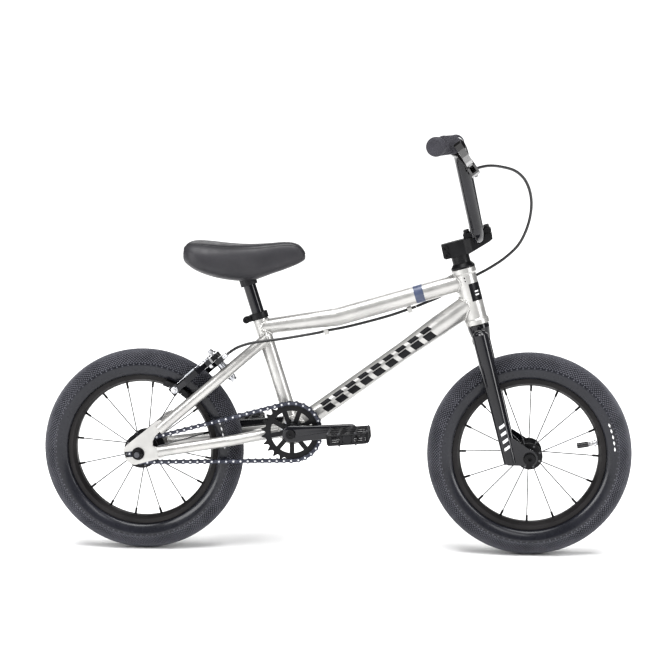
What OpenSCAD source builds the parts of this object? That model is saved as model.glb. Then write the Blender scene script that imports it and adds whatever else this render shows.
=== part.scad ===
// Small-wheeled freestyle bicycle with a rear caliper brake, as its separate pieces.
// Millimetres. +X points forward, +Y to the rider's left, +Z up.
// The origin lies on the ground, midway between the two axles.

/* [Wheels] */
// Distance between the two axles
wheelbase = 681; // [670:1:695]
// Outside diameter of the tyres
tyre_od = 357; // [354:1:359]
// Width of the tyres
tyre_w = 54; // [50:1:54]
// Spokes in each wheel, half of them on each flange
spokes = 16; // [8:4:16]
// Diameter of both axles
axle_d = 10; // [9.5:0.5:10]

/* [Frame] */
// Distance from the rear axle to the bottom bracket
chainstay_len = 271.1; // [269:0.1:273]
// Height of the bottom bracket over the rear axle
bb_rise = 39; // [36:1:42]
// Lean of the seat tube from upright
seat_lean = 17.3; // [16:0.1:18.5]
// Length of the seat tube above the bottom bracket
seat_tube_len = 212; // [208:1:216]
// Outside diameter of the seat tube
seat_tube_d = 25.4; // [25.4:0.1:26]
// Outside diameter of the down tube
down_tube_d = 31.4; // [30:0.1:32]
// Outside diameter of the stays
stay_d = 19; // [17:0.5:19]

/* [Steering] */
// Lean of the steering axis from upright
head_lean = 15; // [14:0.1:16]
// Length of the head tube
head_tube_len = 100; // [98:1:102]
// Distance from the front axle to the head tube along the steering axis
fork_len = 243.4; // [241:0.1:246]
// Offset of the front axle in front of the steering axis
fork_rake = 29.5; // [27:0.5:32]
// Diameter of the handlebar tube
bar_d = 22.2; // [22:0.1:22.4]

/* [Drive] */
// Pitch of the chain
chain_pitch = 12.7; // [12.7:0.1:12.7]
// Teeth on the front sprocket
sprocket_teeth = 25; // [25:1:25]
// Teeth on the rear cog
cog_teeth = 9; // [9:1:9]
// Links in the chain
chain_links = 60; // [60:2:60]
// Distance of the chain from the bicycle's middle plane
chain_line = 40; // [40:0.5:41]
// Length of the crank arms
crank_len = 105; // [102:1:110]
// Angle of the right crank arm above level
crank_angle = 4; // [0:1:10]

/* [Seat] */
// Diameter of the seat post
post_d = 22.2; // [22:0.1:22.2]
// Length of the seat post
post_len = 168; // [160:1:175]

/* [Hidden] */
$fn = 64;
fit = 0.02;       // gap between pieces that are pressed together
running = 0.05;   // gap round a shaft that turns or slides
lap = 1;          // how far a straight tube runs into its bend
bend_extra = 0.12; // how much thicker a bend is than the straights

// Wheels
wheel_r = tyre_od / 2;
rear_x = -wheelbase / 2;
front_x = wheelbase / 2;
tyre_r = tyre_w / 2;
tyre_mid_r = wheel_r - tyre_r;
tyre_wall = 4.2;
rim_r = 133.5;
rim_bed_r = 120.5;
rim_half = 15;
bead_half = 12.6;
spoke_d = 2;
nipple_d = 4;
nipple_in_r = 110.5;
spoke_step = 360 / spokes;
rear_spoke_phase = 14.4;
front_spoke_phase = 21.3;
rear_valve_angle = 3;
front_valve_angle = 9.9;
bearing_od = 26;
bearing_w = 8;

// Frame points
bb_x = rear_x + sqrt(chainstay_len * chainstay_len - bb_rise * bb_rise);
bb_z = wheel_r + bb_rise;
head_x = front_x - fork_rake * cos(head_lean) - fork_len * sin(head_lean);
head_z = wheel_r - fork_rake * sin(head_lean) + fork_len * cos(head_lean);
bb_shell_r = 23;
bb_bore_r = 20.6;
bb_half = 34;
head_r = 19;
head_end_r = 21;
top_rear = at_seat(188, 0);
top_bend = [rear_x + 345, 0, wheel_r + 237.5];
top_front = at_head(0, 0, 78);
down_front = at_head(0, 0, 39);
top_rear_r = 13.4;
top_r = 16;
tube_wall = 1.8;
stay_r = stay_d / 2;
stay_bend = 60;
chainstay_path = [
    [bb_x - 12, 22, bb_z - 2], [rear_x + 205, 26.5, wheel_r + 29],
    [rear_x + 160, 42, wheel_r + 22], [rear_x + 34, 56.5, wheel_r + 3]
];
seatstay_path = [
    [rear_x + 222, 13, wheel_r + 200], [rear_x + 142, 40, wheel_r + 132],
    [rear_x + 36, 56.5, wheel_r + 42]
];
stub_r = 4.8;
rear_lock = 55;
front_lock = 50;
plate_t = 5;

// Brake caliper: its own X runs up along the seat stays and its Z away from them
stay_slope = 40.4;
caliper_x = rear_x + 149.5;
caliper_z = wheel_r + 138.7;
pad_reach = 83.8;
pad_lift = 35;
pad_gap = 2;

// Drive
sprocket_r = chain_pitch / (2 * sin(180 / sprocket_teeth));
cog_r = chain_pitch / (2 * sin(180 / cog_teeth));
roller_r = 3.85;
line_lean = atan2(bb_rise, bb_x - rear_x);
wrap_extra = asin((sprocket_r - cog_r) / chainstay_len);
run_len = sqrt(pow(chainstay_len, 2) - pow(sprocket_r - cog_r, 2));
run_links = run_len / chain_pitch;
front_links = sprocket_teeth * (180 + 2 * wrap_extra) / 360;
rear_links = cog_teeth * (180 - 2 * wrap_extra) / 360;
link_scale = (2 * run_links + front_links + rear_links) / chain_links;
pin_r = 1.8;
plate_end_r = 4.1;
sprocket_t = 2.8;
arm_inner = 56;
arm_t = 13;
pedal_axle_r = 6;
pedal_inner = 73;
pedal_w = 88;
pedal_l = 76;
pedal_t = 18;
pedal_tilt = 5;

// Handlebar, in the steering frame: X forward, Y left, Z along the steering axis
bar_r = bar_d / 2;
bar_x = 38.7;
bar_z = 147.5;
bar_path = [
    [14, -300, 316.3], [42.4, -176, 311.4], [46.4, -138, 296], [bar_x, -50, bar_z],
    [bar_x, 50, bar_z], [46.4, 138, 296], [42.4, 176, 311.4], [14, 300, 316.3]
];
grip_len = 118;
stem_low = 123;
stem_top = 149.5;
steerer_r = 12.7;

// Lever frame: X outward along the bar, Y from the bar towards the blade
lever_x = unit(bar_path[1] - bar_path[2]);
lever_drop = [0.375, 0, -0.927];
lever_y = unit(lever_drop - (lever_drop * lever_x) * lever_x);
lever_z = cross(lever_x, lever_y);
lever_at = bar_path[2] + 23 * lever_x;
lever_pivot = [-14, 33];

// Brake cable routes, in the bicycle's own frame
cable_r = 2.5;
front_route = [
    [240, -126, 676], [252, -113, 680], [268, -95, 682], [288, -70, 679.5], [310, -50, 672.5],
    [327, -32, 657], [337, -18, 633], [339, -5, 605], [332.5, 4, 573], [318, 12, 543],
    [295, 18, 520], [269, 23, 502], [246, 26, 489], [217, 26, 473], [184, 20, 452], [156, 10, 440.5],
    [142, 5, 435]
];
rear_route = [
    [141, 5, 434.6], [91, 1, 417.5], [26, -1, 400], [-16, -3, 391.5], [-30, -5, 388], [-70, -14, 381.5],
    [-92, -22, 378.5], [-112, -29.5, 376.5], [-130, -34, 374.5], [-148, -38, 371.5],
    [-166, -41.5, 365.5], [-178, -43, 358.5], [-184.4, -43, 353.4]
];

// Saddle stations: place along X, half width, top, underside
saddle_stations = [
    [-264, 20, 528, 518], [-261, 42, 541, 511], [-252, 55, 547.5, 503], [-238, 61, 549, 494.5],
    [-215, 62, 547.5, 486], [-190, 55, 545, 480.5], [-165, 44, 543.5, 478], [-140, 33, 543.5, 480],
    [-115, 25, 545, 489], [-92, 21, 547, 497], [-74, 18.5, 546, 504], [-62, 15.5, 541, 509.5],
    [-55, 11, 532, 514], [-52.5, 5, 524, 517]
];
saddle_sides = 24;

// ---------------------------------------------------------------- helpers

function unit(v) = v / norm(v);

// A point beside the seat tube: distance along it and in front of it
function at_seat(along, front) = [
    bb_x - along * sin(seat_lean) + front * cos(seat_lean), 0,
    bb_z + along * cos(seat_lean) + front * sin(seat_lean)
];

// A point in the steering frame, in the bicycle's frame
function at_head(x, y, z) = [
    head_x + x * cos(head_lean) - z * sin(head_lean), y,
    head_z + x * sin(head_lean) + z * cos(head_lean)
];

function mirrored(path) = [for (p = path) [p[0], -p[1], p[2]]];

module seat_frame() {
    translate([bb_x, 0, bb_z]) rotate([0, -seat_lean, 0]) children();
}

module steer_frame() {
    translate([head_x, 0, head_z]) rotate([0, -head_lean, 0]) children();
}

module caliper_frame() {
    translate([caliper_x, 0, caliper_z]) rotate([0, -stay_slope, 0]) children();
}

module lever_frame() {
    steer_frame() basis(lever_x, lever_y, lever_z, lever_at) children();
}

// Wheel frames: Z points at the rider's right, X forward, Y up
module rear_frame() {
    translate([rear_x, 0, wheel_r]) rotate([90, 0, 0]) children();
}

module front_frame() {
    translate([front_x, 0, wheel_r]) rotate([90, 0, 0]) children();
}

module crank_frame() {
    translate([bb_x, 0, bb_z]) rotate([90, 0, 0]) children();
}

module basis(x, y, z, o) {
    multmatrix([
        [x[0], y[0], z[0], o[0]], [x[1], y[1], z[1], o[1]], [x[2], y[2], z[2], o[2]], [0, 0, 0, 1]
    ]) children();
}

// Turns +Z to run from a to b and starts at a
module aim(a, b) {
    v = b - a;
    translate(a) rotate([0, acos(v[2] / norm(v)), atan2(v[1], v[0])]) children();
}

module rod(a, b, r) {
    aim(a, b) cylinder(r = r, h = norm(b - a));
}

// A bar across the bicycle at x, z
module across(x, z, r, half) {
    translate([x, half, z]) rotate([90, 0, 0]) cylinder(r = r, h = 2 * half);
}

module ring(r, bore, h) {
    linear_extrude(h) difference() {
        circle(r);
        circle(bore);
    }
}

// A stay: a bent tube whose ends are closed by caps of the given thickness
module capped_tube(path, bend, r, bore, cap) {
    difference() {
        bent_rod(path, bend, r, 0);
        bent_rod(path, bend, bore, -cap);
    }
}

// Straight rods along a path with round bends at its inner points, and its ends longer by over
// The bends are a hair thicker than the straights, which run a little way into them
module bent_rod(path, bend, r, over) {
    last = len(path) - 1;
    cuts = [for (i = [0:last])
        i == 0 || i == last ? over : lap - bend_cut(path[i - 1], path[i], path[i + 1], bend)
    ];
    union() {
        for (i = [0:last - 1]) {
            way = unit(path[i + 1] - path[i]);
            rod(path[i] - cuts[i] * way, path[i + 1] + cuts[i + 1] * way, r);
        }
        for (i = [1:last - 1]) corner(path[i - 1], path[i], path[i + 1], bend, r + bend_extra);
    }
}

function bend_angle(a, b, c) = 180 - acos(unit(a - b) * unit(c - b));

function bend_cut(a, b, c, bend) = bend * tan(bend_angle(a, b, c) / 2);

module corner(a, b, c, bend, r) {
    turn = bend_angle(a, b, c);
    centre = b + unit(unit(a - b) + unit(c - b)) * bend / cos(turn / 2);
    start = unit(b + unit(a - b) * bend_cut(a, b, c, bend) - centre);
    finish = unit(b + unit(c - b) * bend_cut(a, b, c, bend) - centre);
    axis = unit(cross(start, finish));
    basis(start, cross(axis, start), axis, centre)
        rotate_extrude(angle = turn) translate([bend, 0]) circle(r);
}

// Smooth curve through hand-placed points
function curve_point(p, i, t) =
    let (a = p[max(i - 1, 0)], b = p[i], c = p[i + 1], d = p[min(i + 2, len(p) - 1)])
    0.5 * (2 * b + (c - a) * t + (2 * a - 5 * b + 4 * c - d) * t * t
        + (3 * b - a - 3 * c + d) * t * t * t);

function curve(p, steps) = concat(
    [for (i = [0:len(p) - 2], k = [0:steps - 1]) curve_point(p, i, k / steps)], [p[len(p) - 1]]
);

// A round cord along a route, as one closed skin
module cord(route, steps, r, sides = 8) {
    line = curve(route, steps);
    last = len(line) - 1;
    rings = [for (i = [0:last])
        let (
            way = unit(line[min(i + 1, last)] - line[max(i - 1, 0)]),
            side = unit(cross(way, [0.31, 0.17, 0.93])),
            up = cross(side, way)
        )
        for (k = [0:sides - 1])
            line[i] + r * (cos(360 * k / sides) * side + sin(360 * k / sides) * up)
    ];
    walls = [for (i = [0:last - 1], k = [0:sides - 1]) [
        i * sides + k, i * sides + (k + 1) % sides,
        (i + 1) * sides + (k + 1) % sides, (i + 1) * sides + k
    ]];
    polyhedron(rings, concat(
        walls,
        [[for (k = [sides - 1:-1:0]) k]],
        [[for (k = [0:sides - 1]) last * sides + k]]
    ));
}

module hex(across_flats, h) {
    cylinder(d = across_flats / cos(30), h = h, $fn = 6);
}

// A socket-head screw standing on z = 0, its shank running down
module cap_screw(head_d, head_h, shank_d, shank_l) {
    difference() {
        union() {
            cylinder(d = head_d, h = head_h);
            translate([0, 0, -shank_l]) cylinder(d = shank_d, h = shank_l + 0.5);
        }
        translate([0, 0, head_h * 0.4]) hex(min(shank_d, head_d * 0.5), head_h);
    }
}

// ---------------------------------------------------------------- frame

module head_tube() {
    color("silver") steer_frame() difference() {
        rotate_extrude() polygon([
            [15.5, 7.5], [head_end_r - 1.97, 7.5], [head_end_r - 1.97, 0], [head_end_r, 0],
            [head_end_r, 8], [head_r, 11], [head_r, head_tube_len - 11], [head_end_r, head_tube_len - 8],
            [head_end_r, head_tube_len], [head_end_r - 1.97, head_tube_len],
            [head_end_r - 1.97, head_tube_len - 7.5], [15.5, head_tube_len - 7.5]
        ]);
        for (z = [78, 84]) translate([-2, 0, z]) rotate([90, 0, 0]) cylinder(r = 1.2, h = 30);
    }
}

module head_solid() {
    steer_frame() cylinder(r = head_r, h = head_tube_len);
    steer_frame() cylinder(r1 = head_end_r, r2 = head_r, h = 11);
    steer_frame() translate([0, 0, head_tube_len - 11]) cylinder(r1 = head_r, r2 = head_end_r + 0.02, h = 3);
    steer_frame() translate([0, 0, head_tube_len - 8.01]) cylinder(r = head_end_r + 0.02, h = 20);
}

module top_tube() {
    bend_way = unit(unit(top_bend - top_rear) + unit(top_front - top_bend));
    color("silver") difference() {
        union() {
            difference() {
                rod_tapered(top_rear, top_bend + 6 * unit(top_bend - top_rear), top_rear_r, top_r, tube_wall);
                aim(top_bend, top_bend + bend_way) translate([-40, -40, 0]) cube(80);
            }
            difference() {
                start = top_bend - 6 * unit(top_front - top_bend);
                rod_tapered(start, top_front, top_r, top_r - 0.8, tube_wall);
                aim(top_bend, top_bend + bend_way) translate([-40, -40, -80]) cube(80);
            }
            head_gusset();
        }
        seat_frame() cylinder(r = seat_tube_d / 2, h = 300);
        head_solid();
    }
}

// The small stiffening plate on top of the top tube, against the head tube
module head_gusset() {
    translate([0, 2, 0]) rotate([90, 0, 0]) linear_extrude(4) polygon([
        [head_x - 64, head_z + 72], [head_x - 62, head_z + 77], [head_x - 40, head_z + 89],
        [head_x - 20, head_z + 90], [head_x - 20, head_z + 74]
    ]);
}

module rod_tapered(a, b, r1, r2, wall) {
    h = norm(b - a);
    aim(a, b) rotate_extrude() polygon([[r1 - wall, 0], [r1, 0], [r2, h], [r2 - wall, h]]);
}

module down_tube() {
    a = [bb_x, 0, bb_z];
    h = norm(down_front - a);
    r = down_tube_d / 2;
    flare_r = 18.3;
    color("silver") difference() {
        aim(a, down_front) rotate_extrude() polygon([
            [r - tube_wall, 0], [r, 0], [r, h - 140], [flare_r, h - 70], [flare_r, h],
            [flare_r - tube_wall, h], [flare_r - tube_wall, h - 70], [r - tube_wall, h - 140]
        ]);
        across(bb_x, bb_z, bb_shell_r, bb_half);
        head_solid();
        top_solid();
    }
}

module top_solid() {
    aim(top_bend, top_front) cylinder(r1 = top_r, r2 = top_r - 0.8, h = norm(top_front - top_bend));
}

module seat_tube() {
    color("silver") difference() {
        seat_frame() ring(seat_tube_d / 2, post_d / 2 + running, seat_tube_len);
        across(bb_x, bb_z, bb_shell_r, bb_half);
        seat_frame() translate([-20, -1, seat_tube_len - 26]) cube([20, 2, 30]);
    }
}

module bb_shell() {
    color("silver") translate([bb_x, bb_half, bb_z]) rotate([90, 0, 0])
        ring(bb_shell_r, bb_bore_r, 2 * bb_half);
}

module chainstays() {
    color("silver") for (path = [chainstay_path, mirrored(chainstay_path)]) difference() {
        capped_tube(path, stay_bend, stay_r, stay_r - 1.6, 4);
        across(bb_x, bb_z, bb_shell_r, bb_half);
        dropout_pair();
    }
}

module seatstays() {
    color("silver") for (path = [seatstay_path, mirrored(seatstay_path)]) difference() {
        capped_tube(path, stay_bend, stay_r, stay_r - 1.6, 4);
        seat_frame() cylinder(r = seat_tube_d / 2, h = 300);
        dropout_pair();
    }
}

module dropout_outline() {
    difference() {
        polygon([
            [-26, 5], [-25, 10], [-20, 15], [16, 44], [30, 56], [40, 60], [48, 53], [42, 43], [30, 31],
            [25.5, 22], [25.5, 14], [32, 11.5], [46, 12], [46, -6], [20, -13], [-5, -20],
            [-12, -19], [-19, -14], [-24, -8]
        ]);
        circle(axle_d / 2 + 0.1);
        rotate(6) translate([-40, -axle_d / 2 - 0.1]) square([40, axle_d + 0.2]);
    }
}

module dropout_pair() {
    for (y = [-rear_lock, rear_lock + plate_t]) translate([rear_x, y, wheel_r]) rotate([90, 0, 0])
        linear_extrude(plate_t) dropout_outline();
}

module dropouts() {
    color("silver") dropout_pair();
}

module stay_bridges() {
    color("silver") difference() {
        union() {
            across(caliper_x, caliper_z, 8, 36);
            across(rear_x + 222, wheel_r + 31.6, 6, 24);
        }
        for (path = [seatstay_path, mirrored(seatstay_path)]) rod(path[1], path[0], stay_r);
        for (path = [chainstay_path, mirrored(chainstay_path)]) rod(path[1], path[0], stay_r);
        caliper_frame() translate([0, 0, -20]) cylinder(r = 3.3, h = 40);
    }
}

// Small steel loops welded under the top tube; the cable runs through them
module cable_guides() {
    color("silver") difference() {
        for (at = [rear_route[3], rear_route[0] + 12 * unit(rear_route[1] - rear_route[0])])
            aim(at, at + (rear_route[1] - rear_route[0])) translate([0, 0, -4]) union() {
                cylinder(r = 4.6, h = 8);
                translate([-1.5, -4.6, 0]) cube([8, 9.2, 8]);
            }
        for (at = [rear_route[3], rear_route[0] + 12 * unit(rear_route[1] - rear_route[0])])
            aim(at, at + (rear_route[1] - rear_route[0])) translate([0, 0, -9])
                cylinder(r = cable_r + 0.5, h = 18);
        aim(top_bend, top_front) translate([0, 0, -60]) cylinder(r = top_r - 0.05, h = 300);
        aim(top_rear, top_bend) translate([0, 0, 20]) cylinder(r = top_r - 0.05, h = 140);
    }
}

module seat_clamp() {
    color("#202022") seat_frame() difference() {
        union() {
            translate([0, 0, 203]) cylinder(r = 16.2, h = 11.5);
            translate([-26, -8, 203]) cube([12, 16, 10.5]);
            translate([-23, 8, 208]) rotate([90, 0, 0]) cylinder(r = 6, h = 16);
        }
        translate([0, 0, 200]) cylinder(r = seat_tube_d / 2 + fit, h = 12);
        translate([0, 0, 205]) cylinder(r = post_d / 2 + 0.3, h = 20);
        translate([-40, -1, 200]) cube([40, 2, 20]);
        translate([-23, 20, 208]) rotate([90, 0, 0]) cylinder(r = 2.6, h = 40);
    }
}

module seat_clamp_bolt() {
    color("#303033") seat_frame() translate([-23, -8, 208]) rotate([90, 0, 0]) cap_screw(8.5, 4.5, 5, 16);
}

// Cartridge bearings of the headset and the bottom bracket
module frame_bearings() {
    color("#8a8c90") {
        steer_frame() for (z = [0.6, head_tube_len - 7.1]) translate([0, 0, z])
            ring(head_end_r - 2, 13.6, 6.5);
        for (y = [-bb_half + 11.5, bb_half - 0.5]) translate([bb_x, y, bb_z]) rotate([90, 0, 0])
            ring(bb_bore_r - fit, 9.55, 11);
    }
}

module rear_axle() {
    color("#9a9ca0") rear_frame() {
        translate([0, 0, -70]) cylinder(d = axle_d, h = 140);
        translate([0, 0, -75]) cylinder(r = stub_r, h = 150);
        translate([0, 0, 47]) ring(9, axle_d / 2 + fit, 7.9);
        translate([0, 0, -54.9]) ring(9, axle_d / 2 + fit, 19.5);
    }
}

module flange_nut(flats, h) {
    difference() {
        union() {
            cylinder(r = 11, h = 2.2);
            hex(flats, h);
        }
        translate([0, 0, -1]) cylinder(d = axle_d + 2 * fit, h = h + 2);
    }
}

module rear_axle_nuts() {
    color("#2a2a2c") rear_frame() {
        for (side = [0, 180]) rotate([side, 0, 0]) translate([0, 0, rear_lock + plate_t + 0.05])
            flange_nut(15, 10);
    }
}

// ---------------------------------------------------------------- chain

// Position of pin number t along the closed chain, with the direction of travel
function chain_at(t) =
    let (
        low = line_lean - wrap_extra,
        high = line_lean + wrap_extra,
        n = t * link_scale,
        at_run = run_links,
        at_wrap = at_run + front_links,
        at_back = at_wrap + run_links,
        rear = [rear_x, wheel_r],
        bb = [bb_x, bb_z]
    )
    n < at_run ? rear + cog_r * heading(low - 90) + n * chain_pitch * heading(low)
    : n < at_wrap ? bb + sprocket_r * heading(low - 90 + (n - at_run) * 360 / sprocket_teeth)
    : n < at_back ? bb + sprocket_r * heading(high + 90) - (n - at_wrap) * chain_pitch * heading(high)
    : rear + cog_r * heading(high + 90 + (n - at_back) * 360 / cog_teeth);

function heading(a) = [cos(a), sin(a)];

function near_teeth(p) =
    norm(p - [bb_x, bb_z]) < sprocket_r + 3.6 + roller_r + 0.6
    || norm(p - [rear_x, wheel_r]) < cog_r + 3.6 + roller_r + 0.6;

module link_plate(pitch, hole) {
    difference() {
        union() {
            circle(plate_end_r, $fn = 24);
            translate([pitch, 0]) circle(plate_end_r, $fn = 24);
            translate([0, -2.9]) square([pitch, 5.8]);
        }
        circle(hole, $fn = 24);
        translate([pitch, 0]) circle(hole, $fn = 24);
    }
}

// Round the toothed wheels the rollers are left out and the pins are stubs
module chain() {
    color("#4a4e58") translate([0, -chain_line, 0]) rotate([90, 0, 0]) for (i = [0:chain_links - 1]) {
        p = chain_at(i);
        q = chain_at(i + 1 == chain_links ? 0 : i + 1);
        gap = i % 2 == 0 ? 1.8 : 2.9;
        translate([p[0], p[1], 0]) rotate(atan2(q[1] - p[1], q[0] - p[0])) for (side = [gap, -gap - 1])
            translate([0, 0, side]) linear_extrude(1) link_plate(norm(q - p), pin_r + 0.05);
        if (near_teeth(p))
            for (z = [1.8, -4.6]) translate([p[0], p[1], z]) cylinder(r = pin_r, h = 2.8, $fn = 24);
        else {
            translate([p[0], p[1], -4.6]) cylinder(r = pin_r, h = 9.2, $fn = 24);
            translate([p[0], p[1], -1.7]) ring(roller_r, pin_r + 0.05, 3.4, $fn = 24);
        }
    }
}

// Outline of a toothed wheel whose gaps hold the rollers
module toothed(teeth, pitch_r, first_gap) {
    step = 360 / teeth;
    root_r = pitch_r - roller_r - 0.15;
    polygon([for (i = [0:teeth - 1], k = [
        [root_r, 0], [root_r + 1, 0.19], [pitch_r - 0.4, 0.31], [pitch_r + 2.3, 0.4], [pitch_r + 3.4, 0.45],
        [pitch_r + 3.4, 0.55], [pitch_r + 2.3, 0.6], [pitch_r - 0.4, 0.69], [root_r + 1, 0.81]
    ]) k[0] * heading(first_gap + (i + k[1]) * step)]);
}

sprocket_gap = line_lean - wrap_extra - 90
    + (ceil(run_links / link_scale) * link_scale - run_links) * 360 / sprocket_teeth;
back_start = 2 * run_links + front_links;
cog_gap = line_lean + wrap_extra + 90
    + (ceil(back_start / link_scale) * link_scale - back_start) * 360 / cog_teeth;

module driver() {
    color("#5a5c60") rear_frame() {
        difference() {
            union() {
                translate([0, 0, chain_line - sprocket_t / 2]) linear_extrude(sprocket_t)
                    toothed(cog_teeth, cog_r, cog_gap);
                translate([0, 0, 33]) cylinder(r = 13.6, h = 13.5);
            }
            translate([0, 0, 30]) cylinder(r = 9.5, h = 20);
        }
        translate([0, 0, 34]) ring(9.5 - fit, axle_d / 2 + running, 8);
    }
}

module sprocket() {
    spoke_w = 8;
    color("#1d1d20") crank_frame() difference() {
        union() {
            translate([0, 0, chain_line - sprocket_t / 2]) linear_extrude(sprocket_t) difference() {
                toothed(sprocket_teeth, sprocket_r, sprocket_gap);
                difference() {
                    circle(37.5);
                    circle(16.5);
                    for (i = [0:8]) rotate(270 + i * 40) translate([0, -spoke_w / 2]) square([45, spoke_w]);
                }
            }
            translate([0, 0, bb_half + 1]) cylinder(r = 16, h = arm_inner - bb_half - 1.05);
        }
        translate([0, 0, 30]) cylinder(r = 9.5 + fit, h = 40);
    }
}

module crank_spindle() {
    color("#8a8c90") crank_frame() {
        difference() {
            translate([0, 0, -arm_inner - arm_t + 1]) cylinder(r = 9.5, h = 2 * (arm_inner + arm_t - 1));
            translate([0, 0, -80]) cylinder(r = 5, h = 160);
        }
        for (side = [0, 180]) rotate([side, 0, 0]) translate([0, 0, arm_inner + arm_t + 0.05])
            difference() {
                union() {
                    cylinder(r = 8, h = 2.9);
                    translate([0, 0, -17]) cylinder(r = 5 - fit, h = 18);
                }
                translate([0, 0, 1.2]) hex(6, 3);
            }
        rotate([0, 180, 0]) translate([0, 0, bb_half + 1]) ring(13, 9.5 + fit, arm_inner - bb_half - 1.05);
    }
}

module crank_arm() {
    difference() {
        union() {
            cylinder(r = 15, h = arm_t);
            translate([crank_len, 0, 0]) cylinder(r = 11.5, h = arm_t);
            linear_extrude(arm_t) polygon([
                [0, -14.6], [30, -13.2], [crank_len, -11.1], [crank_len, 11.1], [30, 13.2], [0, 14.6]
            ]);
        }
        translate([0, 0, -1]) cylinder(r = 9.5 + fit, h = arm_t);
        translate([0, 0, -1]) cylinder(r = 5.5, h = arm_t + 2);
        translate([crank_len, 0, -1]) cylinder(r = 7 + fit, h = arm_t + 2);
    }
}

module crank_arm_right() {
    color("#1b1b1d") crank_frame() rotate(crank_angle) translate([0, 0, arm_inner]) crank_arm();
}

module crank_arm_left() {
    color("#1b1b1d") crank_frame() rotate(180 + crank_angle) translate([0, 0, -arm_inner]) mirror([0, 0, 1])
        crank_arm();
}

// The threaded axles of the pedals, screwed into the crank arms
module pedal_axles() {
    color("#8a8c90") for (side = [0, 1]) crank_frame() rotate(crank_angle + 180 * side) mirror([0, 0, side])
        translate([crank_len, 0, 0]) difference() {
            union() {
                translate([0, 0, arm_inner + 1]) cylinder(r = 7, h = arm_t - 1);
                translate([0, 0, arm_inner + arm_t + 0.05]) cylinder(r = 8, h = 3);
                translate([0, 0, arm_inner + arm_t]) cylinder(r = pedal_axle_r, h = pedal_w - 4);
            }
            translate([0, 0, arm_inner - 1]) hex(6, 8);
        }
}

module pedal() {
    difference() {
        union() {
            difference() {
                translate([0, -pedal_t / 2, 0]) rotate([-90, 0, 0]) linear_extrude(pedal_t) polygon([
                    [-pedal_l / 2, -8], [-pedal_l / 2 + 6, 0], [pedal_l / 2 - 6, 0], [pedal_l / 2, -8],
                    [pedal_l / 2 - 2, 20 - pedal_w], [pedal_l / 2 - 10, -pedal_w],
                    [10 - pedal_l / 2, -pedal_w], [2 - pedal_l / 2, 20 - pedal_w]
                ]);
                for (x = [-1, 1], z = [10, 50]) translate([x * 22 - 11 + (x > 0 ? 1 : -1), -20, z])
                    cube([20, 40, 30]);
            }
            cylinder(r = 10.5, h = pedal_w - 2);
        }
        translate([0, 0, -1]) cylinder(r = pedal_axle_r + running, h = pedal_w - 6);
    }
    for (x = [-1, 1], z = [6, 30, 58, 82], y = [-1, 1]) translate([x * (pedal_l / 2 - 6.5), y * pedal_t / 2, z])
        rotate([-90 * y, 0, 0]) translate([0, 0, -2]) cylinder(r = 1.6, h = 4.2, $fn = 16);
}

module pedal_right() {
    color("#232325") crank_frame() rotate(crank_angle) translate([crank_len, 0, pedal_inner])
        rotate(pedal_tilt - crank_angle) pedal();
}

module pedal_left() {
    color("#232325") crank_frame() rotate(180 + crank_angle) mirror([0, 0, 1])
        translate([crank_len, 0, pedal_inner]) rotate(pedal_tilt - crank_angle) pedal();
}

// ---------------------------------------------------------------- brake

// Bolt, spacers and nuts of the caliper, and the block that holds its two springs
module brake_pivot() {
    spring = [[-5.5, 3, 40.8], [-16, 14, 41.2], [-34, 29, 41.2], [-60, 31, 40.8], [-80, 31, 40.2]];
    color("#b9bbbe") caliper_frame() {
        translate([0, 0, -19]) cylinder(r = 3, h = 66);
        difference() {
            translate([0, 0, -20]) union() {
                hex(10, 5);
                translate([0, 0, 5]) cylinder(r = 7, h = 15);
            }
            translate([0, 0, -21]) cylinder(r = 3 + fit, h = 30);
            translate([0, 40, 0]) rotate([90, 0, 0]) cylinder(r = 8.02, h = 80);
        }
        difference() {
            translate([0, 0, 2]) cylinder(r = 7, h = 16.4);
            translate([0, 0, 0]) cylinder(r = 3 + fit, h = 20);
            translate([0, 40, 0]) rotate([90, 0, 0]) cylinder(r = 8.02, h = 80);
        }
        difference() {
            union() {
                translate([0, 0, 39.3]) cylinder(r = 7.5, h = 3.2);
                bent_rod(spring, 8, 0.9, 0);
                bent_rod(mirrored(spring), 8, 0.9, 0);
            }
            translate([0, 0, 30]) cylinder(r = 3 + fit, h = 30);
        }
        translate([0, 0, 42.6]) difference() {
            union() {
                hex(9, 5);
                translate([0, 0, 4.5]) cylinder(r = 4, h = 2.5);
            }
            translate([0, 0, -1]) cylinder(r = 3 + fit, h = 5.6);
        }
    }
}

// One caliper arm, flat in its own XY plane; pad_z is the height of its pad over the arm
module caliper_arm(side, pad_z, tail) {
    arm_h = 9.5;
    difference() {
        union() {
            linear_extrude(arm_h) polygon([for (p = [
                [11, -2], [8, 6], [2, 12], [-6, 16], [-14, 21], [-24, 30], [-36, 34], [-60, 36], [-76, 34.5],
                [-90, 34.5], [-92, 40], [-88, 45], [-60, 45.5], [-34, 44], [-16, 40], [-4, 32], [8, 16]
            ]) [p[0], side * p[1]]]);
            cylinder(r = 11, h = arm_h);
            linear_extrude(arm_h) polygon(tail);
            translate([-pad_reach, side * 39.8, min(pad_z, 0) - 1]) translate([-8, -5.4, 0])
                cube([16, 10.8, abs(pad_z) + 9]);
        }
        translate([0, 0, -1]) cylinder(r = 3 + running, h = arm_h + 2);
        translate([-pad_reach, 0, pad_z]) rotate([90 * side, 0, 0]) translate([0, 0, -60])
            cylinder(r = 3.1, h = 50);
    }
}

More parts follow.
